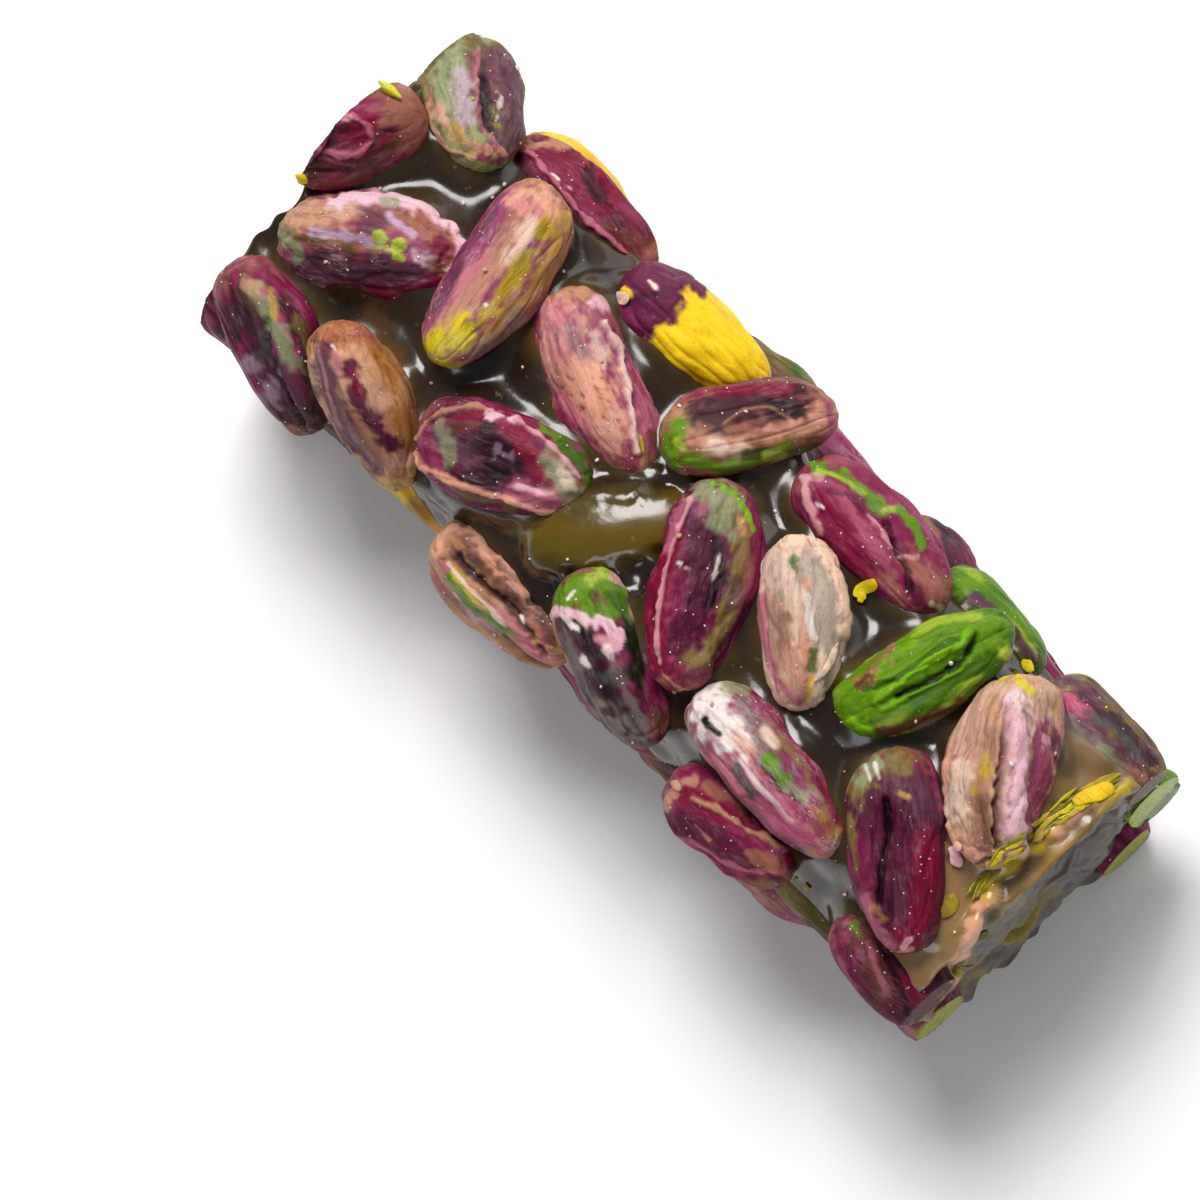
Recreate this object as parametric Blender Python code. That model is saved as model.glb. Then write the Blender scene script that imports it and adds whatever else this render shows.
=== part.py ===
"""Pistachio lokum bar: a finger of set starch jelly, rolled in whole pistachio kernels and cut to length.

Metres, +Z up. X runs along the bar towards the near cut, Y across it, and the origin is on the
floor under the middle of the bar. The jelly is one solid with a pocket for each kernel, and each
kernel is a solid of its own, pressed a little over half its thickness into the jelly.
"""

import math
from typing import NamedTuple

import bmesh
import bpy
import numpy as np
from mathutils import Matrix, Vector

MM = 0.001

# Driving dimensions of the bar
CUT_TO_CUT = 81.0 * MM
JELLY_HALF_WIDTH = 12.6 * MM
JELLY_HALF_HEIGHT = 10.6 * MM
SECTION_SQUARENESS = 3.2
AXIS_HEIGHT = 13.4 * MM
WAVE_HEIGHT = 0.25 * MM
WAVE_LENGTH = 9.0 * MM

# How the kernels sit
SEAT_DEPTH = 0.7 * MM
THICKNESS_TO_WIDTH = 0.88
NEIGHBOUR_GAP = 0.35 * MM
POCKET_GAP = 0.45 * MM
TIP_FULLNESS = 0.74
TIP_TAPER = 0.13
BEND_TO_WIDTH = 0.07
MOST_TILT = 0.07
MOST_ROLL = 0.2
MOST_LIFT = 1.5 * MM
END_KEEP = 0.5 * MM
LONGEST_KERNEL = 18 * MM
SETTLING_PASSES = 500
REST_FLAT = 0.12 * MM

# How finely the solids are faceted
KERNEL_SIDES = 12
KERNEL_RINGS = 7
POCKET_SIDES = 8
POCKET_RINGS = 6
JELLY_SIDES = 28
JELLY_STATIONS = 9
SEED = 20

JELLY_COLOUR = (0.16, 0.09, 0.035, 1.0)
PLUM = (0.17, 0.02, 0.07, 1.0)
ROSE = (0.42, 0.14, 0.16, 1.0)
TAN = (0.40, 0.22, 0.11, 1.0)
OLIVE = (0.22, 0.17, 0.05, 1.0)
GREEN = (0.13, 0.30, 0.02, 1.0)
YELLOW = (0.80, 0.52, 0.01, 1.0)


class Kernel(NamedTuple):
    """One pistachio kernel: millimetres and degrees, as it lies on the jelly."""

    along: float  # from the bar's middle towards the near cut
    around: float  # round the bar: 0 on top, 90 at -Y, 180 underneath
    turn: float  # from the bar's length to the kernel's, in the surface
    length: float
    width: float
    form: str
    skin: tuple


# The kernels on the top and the two flanks, from the far end to the near cut
LAID_KERNELS = (
    Kernel(-36.9, -25, 62, 11.8, 8.4, "ridge", PLUM),
    Kernel(-36.4, -56, -42, 13.5, 8.0, "groove", OLIVE),
    Kernel(-38.5, -95, 50, 12.5, 7.0, "smooth", OLIVE),
    Kernel(-33.6, 8, 35, 15.8, 9.0, "ridge", ROSE),
    Kernel(-34.6, 51, -28, 15.0, 7.6, "groove", PLUM),
    Kernel(-39.6, 71, -62, 12.5, 6.2, "smooth", PLUM),
    Kernel(-34.0, 116, -10, 12.5, 6.4, "smooth", ROSE),
    Kernel(-24.7, -64, 4, 15.2, 6.4, "ridge", PLUM),
    Kernel(-24.6, -96, 3, 14.0, 7.8, "smooth", YELLOW),
    Kernel(-24.3, -22, -77, 17.0, 7.4, "smooth", ROSE),
    Kernel(-24.4, 55, -35, 14.6, 7.4, "dish", TAN),
    Kernel(-26.5, 96, -25, 13.0, 6.6, "smooth", OLIVE),
    Kernel(-19.0, 88, -8, 13.5, 6.8, "dish", YELLOW),
    Kernel(-14.5, 28, 25, 15.0, 7.8, "dish", PLUM),
    Kernel(-11.4, -24, -18, 17.2, 8.3, "ridge", ROSE),
    Kernel(-9.3, -55, 13, 14.0, 7.0, "smooth", YELLOW),
    Kernel(-15.0, -88, -20, 13.0, 7.6, "ridge", ROSE),
    Kernel(-6.5, -98, 42, 12.5, 6.4, "smooth", OLIVE),
    Kernel(0.0, -42, 64, 14.6, 7.0, "dish", PLUM),
    Kernel(-5.0, 65, 3, 14.8, 7.6, "groove", TAN),
    Kernel(5.0, 46, -27, 15.2, 7.2, "ridge", PLUM),
    Kernel(3.8, 88, 9, 16.5, 7.0, "smooth", ROSE),
    Kernel(5.7, 1, -59, 16.8, 8.0, "dish", PLUM),
    Kernel(13.4, -5, -43, 13.6, 6.8, "ridge", TAN),
    Kernel(13.2, -46, 0, 15.8, 7.4, "groove", PLUM),
    Kernel(3.8, -92, -5, 13.0, 6.4, "smooth", ROSE),
    Kernel(15.0, -100, -14, 12.5, 6.6, "ridge", PLUM),
    Kernel(21.8, -70, 5, 11.0, 6.4, "smooth", GREEN),
    Kernel(24.3, -24, 74, 15.3, 6.8, "wrinkle", GREEN),
    Kernel(19.1, 31, -3, 16.8, 7.2, "ridge", ROSE),
    Kernel(20.6, 68, 11, 13.0, 6.6, "ridge", PLUM),
    Kernel(22.5, 108, -20, 13.5, 6.8, "smooth", ROSE),
    Kernel(27.5, 88, -12, 13.2, 6.8, "dish", OLIVE),
    Kernel(35.6, 76, -10, 12.0, 7.4, "groove", PLUM),
    Kernel(29.7, 22, -41, 15.8, 7.6, "groove", PLUM),
    Kernel(30.8, -34, -57, 15.6, 8.4, "ridge", TAN),
    Kernel(34.0, -62, -4, 12.6, 6.8, "smooth", OLIVE),
    Kernel(40.0, -100, 80, 10.0, 5.8, "smooth", GREEN),
    Kernel(-9.0, 112, -8, 14.0, 6.8, "smooth", PLUM),
    Kernel(12.5, 118, 18, 13.5, 6.8, "dish", OLIVE),
    Kernel(36.5, 114, 24, 13.0, 6.6, "smooth", ROSE),
    Kernel(26.5, -110, 4, 11.5, 6.2, "dish", PLUM),
)

# The kernels underneath follow a rule: three rows of five, staggered and turned a little each way
UNDERSIDE_ROWS = (142, 180, -142)
UNDERSIDE_ROW_LENGTH = 5
UNDERSIDE_PITCH = 16.2
UNDERSIDE_STAGGER = 3.5
UNDERSIDE_LENGTH = 13.8
UNDERSIDE_WIDTH = 7.0
UNDERSIDE_MOST_TURN = 16
UNDERSIDE_FORMS = ("smooth", "dish", "ridge", "groove")
UNDERSIDE_SKINS = (PLUM, ROSE, OLIVE, TAN)

# Where jelly has run right over a kernel, so that it shows as a lump in the jelly
LUMP = Kernel(-2.6, 20, 58, 14.5, 8.0, "smooth", JELLY_COLOUR)
LUMP_SINK = 1.4 * MM


def clear_scene():
    """Removes whatever the file opened with."""
    for obj in list(bpy.data.objects):
        bpy.data.objects.remove(obj)


def section_point(around):
    """A point on the jelly's rounded-square section and the direction outwards there, both in YZ."""
    angle = math.radians(around)
    y, z = -math.sin(angle), math.cos(angle)
    m = SECTION_SQUARENESS
    reach = (abs(y / JELLY_HALF_WIDTH) ** m + abs(z / JELLY_HALF_HEIGHT) ** m) ** (-1 / m)
    point = Vector((0, y * reach, z * reach))
    slope_y = math.copysign(abs(point.y) ** (m - 1), y) / JELLY_HALF_WIDTH**m
    slope_z = math.copysign(abs(point.z) ** (m - 1), z) / JELLY_HALF_HEIGHT**m
    return point, Vector((0, slope_y, slope_z)).normalized()


def seat_of(kernel, sink, tilt=0.0, roll=0.0):
    """The kernel's frame: X along it and Z out of the jelly, its middle sunk under the surface."""
    point, outward = section_point(kernel.around)
    sideways = outward.cross(Vector((1, 0, 0)))
    turn = math.radians(kernel.turn)
    lengthwise = Vector((1, 0, 0)) * math.cos(turn) + sideways * math.sin(turn)
    across = outward.cross(lengthwise)
    axes = Matrix((lengthwise, across, outward)).transposed().to_4x4()
    centre = point - outward * sink + Vector((kernel.along * MM, 0, AXIS_HEIGHT))
    lean = Matrix.Rotation(tilt, 4, "Y") @ Matrix.Rotation(roll, 4, "X")
    return Matrix.Translation(centre) @ axes @ lean


def hump(angle, middle, spread):
    """A smooth hump of height 1 over the angles near the middle one, in degrees."""
    return np.exp(-(((np.degrees(angle) - middle) / spread) ** 2))


def relief(form, angle, fade):
    """How far the skin stands in or out round the section, as a factor: angle 0 faces outwards.

    Hollows fade out towards the tips.
    """
    flanks = hump(angle, 58, 26) + hump(angle, -58, 26)
    rims = hump(angle, 60, 18) + hump(angle, -60, 18)
    if form == "ridge":
        return 1 + 0.10 * hump(angle, 0, 20) - 0.13 * flanks
    if form == "dish":
        return 1 - 0.26 * fade * hump(angle, 0, 34) + 0.03 * rims
    if form == "groove":
        return 1 - 0.30 * fade * hump(angle, 0, 15)
    if form == "wrinkle":
        return 1 - fade * (0.22 * hump(angle, 30, 14) + 0.16 * hump(angle, -30, 14))
    return np.ones_like(angle)


def kernel_points(ball, kernel, form, bend):
    """Moves the points of a unit ball, poles along X, to the kernel's surface in its own frame."""
    along = ball[:, 0]
    middle = np.sqrt(np.clip(1 - along**2, 0, 1))
    angle = np.arctan2(ball[:, 1], ball[:, 2])
    reach = middle**TIP_FULLNESS * (1 - TIP_TAPER * along) * relief(form, angle, middle)
    width = kernel.width * MM
    y = width / 2 * reach * np.sin(angle) + bend * width * middle**2
    z = width * THICKNESS_TO_WIDTH / 2 * reach * np.cos(angle)
    return np.column_stack((kernel.length * MM / 2 * along, y, z))


def ball_mesh(sides, rings):
    """A unit ball with its poles along X, as a bmesh."""
    ball = bmesh.new()
    lay_down = Matrix.Rotation(math.radians(90), 4, "Y")
    bmesh.ops.create_uvsphere(ball, u_segments=sides, v_segments=rings, radius=1, matrix=lay_down)
    return ball


def points_of(mesh):
    """The bmesh's points as an array."""
    return np.array([vertex.co for vertex in mesh.verts])


def put_points(mesh, points):
    """Moves the bmesh's points to those of the array."""
    for vertex, point in zip(mesh.verts, points):
        vertex.co = point


def underside_kernels():
    """The kernels that the bar lies on, row by row."""
    for row, around in enumerate(UNDERSIDE_ROWS):
        for place in range(UNDERSIDE_ROW_LENGTH):
            from_middle = place - (UNDERSIDE_ROW_LENGTH - 1) / 2
            along = from_middle * UNDERSIDE_PITCH + (row - 1) * UNDERSIDE_STAGGER
            turn = UNDERSIDE_MOST_TURN * math.sin(2.4 * place + 1.7 * row)
            form = UNDERSIDE_FORMS[(place + row) % 4]
            skin = UNDERSIDE_SKINS[(place + 2 * row) % 4]
            yield Kernel(along, around, turn, UNDERSIDE_LENGTH, UNDERSIDE_WIDTH, form, skin)


def carried(points, frame):
    """The points, carried from the frame to the bar."""
    axes = np.array(frame)
    return points @ axes[:3, :3].T + axes[:3, 3]


def even_directions(count):
    """Directions spread evenly over a half ball, by the golden angle."""
    step = np.arange(count) + 0.5
    z = step / count
    turn = step * math.pi * (3 - math.sqrt(5))
    ring = np.sqrt(1 - z**2)
    return np.column_stack((ring * np.cos(turn), ring * np.sin(turn), z))


def pushes_apart(lows, highs, middles, directions):
    """How each kernel moves away from the ones it is too close to, in one pass.

    Two kernels are apart when some direction splits them, so the best of many directions gives
    the gap between them, and the way to push them.
    """
    pushes = np.zeros_like(middles)
    for a in range(len(middles)):
        for b in range(a + 1, len(middles)):
            if np.linalg.norm(middles[b] - middles[a]) > LONGEST_KERNEL:
                continue
            gaps = np.concatenate((lows[b] - highs[a], lows[a] - highs[b]))
            best = gaps.argmax()
            if gaps[best] >= NEIGHBOUR_GAP:
                continue
            way = directions[best % len(directions)] * (1 if best < len(directions) else -1)
            push = way * (NEIGHBOUR_GAP * 1.02 - gaps[best]) * 0.45
            pushes[a] -= push
            pushes[b] += push
    return pushes


def settle(clouds, middles, outwards, underneath):
    """Slides the kernels apart until NEIGHBOUR_GAP separates each two, and gives how far each slid.

    A kernel slides freely along the jelly and in or out by MOST_LIFT, and its middle stays
    between the two cuts. Those underneath stay on the floor.
    """
    directions = even_directions(260)
    shifts = np.zeros_like(middles)
    highs = np.array([(cloud @ directions.T).max(0) for cloud in clouds])
    lows = np.array([(cloud @ directions.T).min(0) for cloud in clouds])
    end = CUT_TO_CUT / 2 - END_KEEP
    for _ in range(SETTLING_PASSES):
        moved = shifts @ directions.T
        pushes = pushes_apart(lows + moved, highs + moved, middles + shifts, directions)
        if not pushes.any():
            break
        shifts += pushes
        lift = (shifts * outwards).sum(1)
        shifts += (np.clip(lift, -MOST_LIFT, MOST_LIFT) - lift)[:, None] * outwards
        shifts[:, 0] = np.clip(middles[:, 0] + shifts[:, 0], -end, end) - middles[:, 0]
        shifts[underneath, 2] = 0
    return shifts


def lay_out(unit):
    """The kernels, and the frame and the bend of each once they have settled."""
    draw = np.random.default_rng(SEED)
    underside = list(underside_kernels())
    kernels = list(LAID_KERNELS) + underside
    underneath = np.arange(len(kernels)) >= len(LAID_KERNELS)
    frames, bends, clouds = [], [], []
    for kernel, lies_under in zip(kernels, underneath):
        tilt, roll = draw.uniform(-MOST_TILT, MOST_TILT), draw.uniform(-MOST_ROLL, MOST_ROLL)
        bend = draw.choice((-1, 1)) * BEND_TO_WIDTH
        frame = seat_of(kernel, SEAT_DEPTH, tilt, roll)
        cloud = carried(kernel_points(unit, kernel, kernel.form, bend), frame)
        if lies_under:
            drop = cloud[:, 2].min() + REST_FLAT
            frame.translation.z -= drop
            cloud[:, 2] -= drop
        frames.append(frame)
        bends.append(bend)
        clouds.append(cloud)
    middles = np.array([frame.translation for frame in frames])
    outwards = np.array([frame.col[2][:3] for frame in frames])
    for frame, shift in zip(frames, settle(clouds, middles, outwards, underneath)):
        frame.translation += Vector(shift)
    return kernels, frames, bends


def material(name, colour, roughness):
    """A Principled material."""
    made = bpy.data.materials.new(name)
    made.use_nodes = True
    shader = made.node_tree.nodes["Principled BSDF"]
    shader.inputs["Base Color"].default_value = colour
    shader.inputs["Roughness"].default_value = roughness
    shader.inputs["Metallic"].default_value = 0.0
    return made


def add_object(name, mesh, collection, frame):
    """Makes an object of the bmesh in its frame, and frees the bmesh."""
    data = bpy.data.meshes.new(name)
    mesh.to_mesh(data)
    mesh.free()
    data.shade_smooth()
    obj = bpy.data.objects.new(name, data)
    obj.matrix_world = frame
    collection.objects.link(obj)
    return obj


def trim(mesh, frame):
    """Slices off what passes the knife's two cuts or the floor, and closes the slices."""
    to_local = frame.inverted()
    half = CUT_TO_CUT / 2
    planes = ((Vector((half, 0, 0)), Vector((1, 0, 0))), (Vector((-half, 0, 0)), Vector((-1, 0, 0))))
    for point, normal in planes + ((Vector((0, 0, 0)), Vector((0, 0, -1))),):
        geometry = mesh.verts[:] + mesh.edges[:] + mesh.faces[:]
        local_point = to_local @ point
        local_normal = to_local.to_3x3() @ normal
        bmesh.ops.bisect_plane(
            mesh, geom=geometry, plane_co=local_point, plane_no=local_normal, clear_outer=True
        )
        open_edges = [edge for edge in mesh.edges if edge.is_boundary]
        bmesh.ops.holes_fill(mesh, edges=open_edges, sides=0)
    bmesh.ops.recalc_face_normals(mesh, faces=mesh.faces)


def pocket_mesh(ball, unit, kernel, bend):
    """A cutter a little larger than the kernel all round, as a bmesh."""
    pocket = ball.copy()
    points = kernel_points(unit, kernel, "smooth", bend)
    corners_out = 1 / math.cos(math.pi / POCKET_SIDES)
    reach = np.linalg.norm(points, axis=1, keepdims=True)
    put_points(pocket, points * (corners_out + POCKET_GAP / reach))
    return pocket


def build_kernels(parts, pockets):
    """Makes each kernel in its place, and the cutter for its pocket."""
    ball = ball_mesh(KERNEL_SIDES, KERNEL_RINGS)
    coarse_ball = ball_mesh(POCKET_SIDES, POCKET_RINGS)
    unit, coarse_unit = points_of(ball), points_of(coarse_ball)
    for number, (kernel, frame, bend) in enumerate(zip(*lay_out(unit)), 1):
        solid = ball.copy()
        put_points(solid, kernel_points(unit, kernel, kernel.form, bend))
        trim(solid, frame)
        obj = add_object(f"kernel_{number:02d}", solid, parts, frame)
        obj.data.materials.append(material(f"skin_{number:02d}", kernel.skin, 0.5))
        pocket = pocket_mesh(coarse_ball, coarse_unit, kernel, bend)
        as_cutter(add_object(f"pocket_{number:02d}", pocket, pockets, frame))
    ball.free()
    coarse_ball.free()


def as_cutter(obj):
    """Keeps the object out of the model and draws it as wire."""
    obj.hide_render = True
    obj.display_type = "WIRE"


def jelly_mesh():
    """The rounded-square bar, a little uneven along its sides, cut flat at both ends."""
    bar = bmesh.new()
    lay_down = Matrix.Rotation(math.radians(90), 4, "Y")
    bmesh.ops.create_cone(
        bar, cap_ends=True, segments=JELLY_SIDES, radius1=1, radius2=1, depth=CUT_TO_CUT, matrix=lay_down
    )
    for station in range(1, JELLY_STATIONS):
        along = (station / JELLY_STATIONS - 0.5) * CUT_TO_CUT
        geometry = bar.verts[:] + bar.edges[:] + bar.faces[:]
        bmesh.ops.bisect_plane(bar, geom=geometry, plane_co=(along, 0, 0), plane_no=(1, 0, 0))
    for vertex in bar.verts:
        angle = math.atan2(-vertex.co.y, vertex.co.z)
        wave = WAVE_HEIGHT * math.sin(vertex.co.x / WAVE_LENGTH + 2 * angle)
        point, outward = section_point(math.degrees(angle))
        vertex.co = Vector((vertex.co.x, 0, 0)) + point + outward * wave
    return bar


def build_jelly(parts, pockets, lumps):
    """Makes the jelly: the bar and its lump, less a pocket for each kernel."""
    jelly = add_object("jelly", jelly_mesh(), parts, Matrix.Translation((0, 0, AXIS_HEIGHT)))
    jelly.data.materials.append(material("jelly", JELLY_COLOUR, 0.15))
    lump = ball_mesh(KERNEL_SIDES, KERNEL_RINGS)
    put_points(lump, kernel_points(points_of(lump), LUMP, LUMP.form, 0))
    as_cutter(add_object("lump", lump, lumps, seat_of(LUMP, LUMP_SINK)))
    for operation, others in (("UNION", lumps), ("DIFFERENCE", pockets)):
        boolean = jelly.modifiers.new(others.name, "BOOLEAN")
        boolean.operation = operation
        boolean.operand_type = "COLLECTION"
        boolean.collection = others
        boolean.solver = "EXACT"


def centre_across(parts):
    """Hangs every part on an empty at the floor, moved so that the bar's width is even about it."""
    bpy.context.view_layer.update()
    across = [(obj.matrix_world @ v.co).y for obj in parts.objects for v in obj.data.vertices]
    bar = bpy.data.objects.new("bar", None)
    parts.objects.link(bar)
    for obj in bpy.data.objects:
        if obj != bar:
            obj.parent = bar
    bar.location.y = -(min(across) + max(across)) / 2


def main():
    """Builds the bar."""
    clear_scene()
    made = [bpy.data.collections.new(name) for name in ("pistachio_lokum_bar", "pockets", "lumps")]
    for collection in made:
        bpy.context.scene.collection.children.link(collection)
    parts, pockets, lumps = made
    build_kernels(parts, pockets)
    build_jelly(parts, pockets, lumps)
    centre_across(parts)


if __name__ == "__main__":
    main()
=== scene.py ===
"""Pistachio lokum bar, dressed: dark set jelly rolled in whole pistachio kernels and cut to length.

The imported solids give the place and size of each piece. Every kernel is worked up from its own
solid: smoothed, wrinkled, ridged and hollowed as a dried kernel is, then painted skin and flesh.
The jelly is worked up from a bar, and climbs the kernels' sides as it does where they are pressed in.

Lengths are metres in the scene. Classes hold millimetres where their names or docstrings say so.
"""

from __future__ import annotations

import logging
import math
from dataclasses import dataclass, fields
from enum import Enum, IntEnum

import bpy
import numpy as np
from mathutils import Matrix, Vector
from mathutils.bvhtree import BVHTree


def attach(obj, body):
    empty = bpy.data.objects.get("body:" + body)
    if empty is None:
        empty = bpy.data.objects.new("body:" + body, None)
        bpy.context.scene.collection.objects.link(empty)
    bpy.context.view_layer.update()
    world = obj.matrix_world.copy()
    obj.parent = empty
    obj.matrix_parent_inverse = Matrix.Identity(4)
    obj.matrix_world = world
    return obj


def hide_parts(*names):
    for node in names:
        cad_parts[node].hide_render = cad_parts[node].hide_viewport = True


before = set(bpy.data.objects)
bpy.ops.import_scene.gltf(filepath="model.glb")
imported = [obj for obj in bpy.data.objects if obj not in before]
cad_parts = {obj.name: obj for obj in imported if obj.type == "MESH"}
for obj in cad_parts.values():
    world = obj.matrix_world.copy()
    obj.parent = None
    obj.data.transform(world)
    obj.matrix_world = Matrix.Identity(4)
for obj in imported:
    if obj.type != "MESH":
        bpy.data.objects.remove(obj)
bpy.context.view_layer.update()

LOG = logging.getLogger("lokum_bar")
MM = 0.001


def linear(code: str) -> tuple[float, float, float]:
    """Turns a screen colour into the linear colour that shaders use.

    Args:
        code: The colour as six hexadecimal digits.

    Returns:
        Red, green and blue from 0 to 1.
    """
    parts = [int(code[i : i + 2], 16) / 255 for i in (0, 2, 4)]
    red, green, blue = [p / 12.92 if p <= 0.04045 else ((p + 0.055) / 1.055) ** 2.4 for p in parts]
    return red, green, blue


class Tint(Enum):
    """Colours of skin, flesh and jelly."""

    CRIMSON = "8c1240"
    MAGENTA = "8e2a58"
    ORCHID = "a2587a"
    PLUM = "5c1c3c"
    DUSK = "4a2c3a"
    GRAPE = "6a4055"
    INK = "24121c"
    ROSE = "c4788a"
    BLUSH = "dca6ac"
    CREAM = "ead2c2"
    BONE = "f0e6e0"
    PEACH = "dfa98f"
    SAND = "c79b7c"
    RUST = "a9603f"
    TAN = "a5765a"
    UMBER = "6a4030"
    BARK = "3c2416"
    OLIVE = "7c6a28"
    MOSS = "565418"
    STRAW = "c4a24c"
    GOLD = "f2c614"
    AMBER = "c8862c"
    LIME = "b4c24e"
    LEAF = "6c9418"
    FERN = "476f1c"
    PINE = "1e3010"
    SAGE = "98a07a"
    ASH = "8c8078"
    JELLY = "2a1d14"
    JELLY_DEEP = "140e0b"
    JELLY_WARM = "5a3c1c"
    JELLY_OLIVE = "5c4a08"
    JELLY_PALE = "8c7048"
    CUT = "57504c"
    PETAL = "ecc4cf"
    SHELL = "f0cdb4"
    LILAC = "cbb0c6"
    PINK = "d0658c"
    APRICOT = "e0995c"
    MUSTARD = "b8a020"
    CITRON = "d6c420"
    OCHRE = "a87430"
    KHAKI = "8a7c3c"
    VIVID = "84b81a"
    STONE = "b4a698"
    SLATE = "5a5e5c"

    @property
    def rgb(self) -> np.ndarray:
        """The tint in linear red, green and blue."""
        return np.array(linear(self.value))


def select_only(obj: bpy.types.Object) -> None:
    """Selects one object alone and makes it active.

    Args:
        obj: The object.
    """
    if bpy.context.mode != "OBJECT":
        bpy.ops.object.mode_set(mode="OBJECT")
    bpy.ops.object.select_all(action="DESELECT")
    obj.select_set(True)
    bpy.context.view_layer.objects.active = obj


def points_of(mesh: bpy.types.Mesh) -> np.ndarray:
    """Reads the mesh's points.

    Args:
        mesh: The mesh.

    Returns:
        Metres, one row a point.
    """
    found = np.empty(len(mesh.vertices) * 3, np.float32)
    mesh.vertices.foreach_get("co", found)
    return found.reshape(-1, 3).astype(float)


def normals_of(mesh: bpy.types.Mesh) -> np.ndarray:
    """Reads the mesh's smoothed directions outwards.

    Args:
        mesh: The mesh.

    Returns:
        One direction of unit length a point.
    """
    found = np.empty(len(mesh.vertices) * 3, np.float32)
    mesh.vertices.foreach_get("normal", found)
    return found.reshape(-1, 3).astype(float)


def put_points(mesh: bpy.types.Mesh, points: np.ndarray) -> None:
    """Moves the mesh's points to the rows of the array, in metres."""
    mesh.vertices.foreach_set("co", points.astype(np.float32).ravel())
    mesh.update()


def put_values(mesh: bpy.types.Mesh, name: str, values: np.ndarray) -> None:
    """Stores one number, vector or colour for each point.

    Args:
        mesh: The mesh that gets the attribute.
        name: The attribute's name, which the materials read.
        values: One value a point, or rows of three.
    """
    if values.ndim == 1:
        made = mesh.attributes.new(name, "FLOAT", "POINT")
        made.data.foreach_set("value", values.astype(np.float32))
        return
    made = mesh.attributes.new(name, "FLOAT_VECTOR", "POINT")
    made.data.foreach_set("vector", values.astype(np.float32).ravel())


def put_paint(mesh: bpy.types.Mesh, name: str, colours: np.ndarray) -> None:
    """Stores a linear colour for each point, as a colour attribute.

    Args:
        mesh: The mesh that gets the attribute.
        name: The attribute's name, which the materials read.
        colours: Red, green and blue, one row a point.
    """
    made = mesh.color_attributes.new(name, "FLOAT_COLOR", "POINT")
    rows = np.column_stack((np.clip(colours, 0, 1), np.ones(len(colours))))
    made.data.foreach_set("color", rows.astype(np.float32).ravel())


def smoothstep(low: float, high: float, value: np.ndarray) -> np.ndarray:
    """Rises smoothly from 0 at low to 1 at high; high may be the smaller."""
    t = np.clip((value - low) / (high - low), 0, 1)
    return t * t * (3 - 2 * t)


def waves(points: np.ndarray, wavelength: float, seed: int, count: int = 16) -> np.ndarray:
    """Smooth seeded unevenness: many plane waves that cross.

    Args:
        points: Where it is wanted, in millimetres, one row each.
        wavelength: The middle wavelength in millimetres.
        seed: Which unevenness this is.
        count: How many waves are added up.

    Returns:
        One number a point, of spread about 1 round 0.
    """
    draw = np.random.default_rng(seed)
    ways = draw.normal(size=(count, 3))
    ways /= np.linalg.norm(ways, axis=1, keepdims=True)
    pitches = wavelength * draw.uniform(0.65, 1.5, (count, 1))
    phases = draw.uniform(0, 2 * math.pi, count)
    return np.sin(points @ (ways / pitches * 2 * math.pi).T + phases).sum(1) * math.sqrt(2 / count)


def mixed(colours: np.ndarray, tint: np.ndarray, share: np.ndarray) -> np.ndarray:
    """Mixes a tint, or rows of colours, into rows of colours by a share a row."""
    return colours + (tint - colours) * np.clip(share, 0, 1)[:, None]


def tree_of(pieces: list[bpy.types.Object]) -> BVHTree:
    """Makes one search tree over the faces of several pieces.

    Args:
        pieces: The pieces.

    Returns:
        The tree, in millimetres.
    """
    corners, faces, start = [], [], 0
    for piece in pieces:
        mesh = piece.data
        mesh.calc_loop_triangles()
        triangles = np.empty(len(mesh.loop_triangles) * 3, np.int32)
        mesh.loop_triangles.foreach_get("vertices", triangles)
        corners.append(points_of(mesh) / MM)
        faces.append(triangles.reshape(-1, 3) + start)
        start += len(mesh.vertices)
    return BVHTree.FromPolygons(np.concatenate(corners).tolist(), np.concatenate(faces).tolist())


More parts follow.
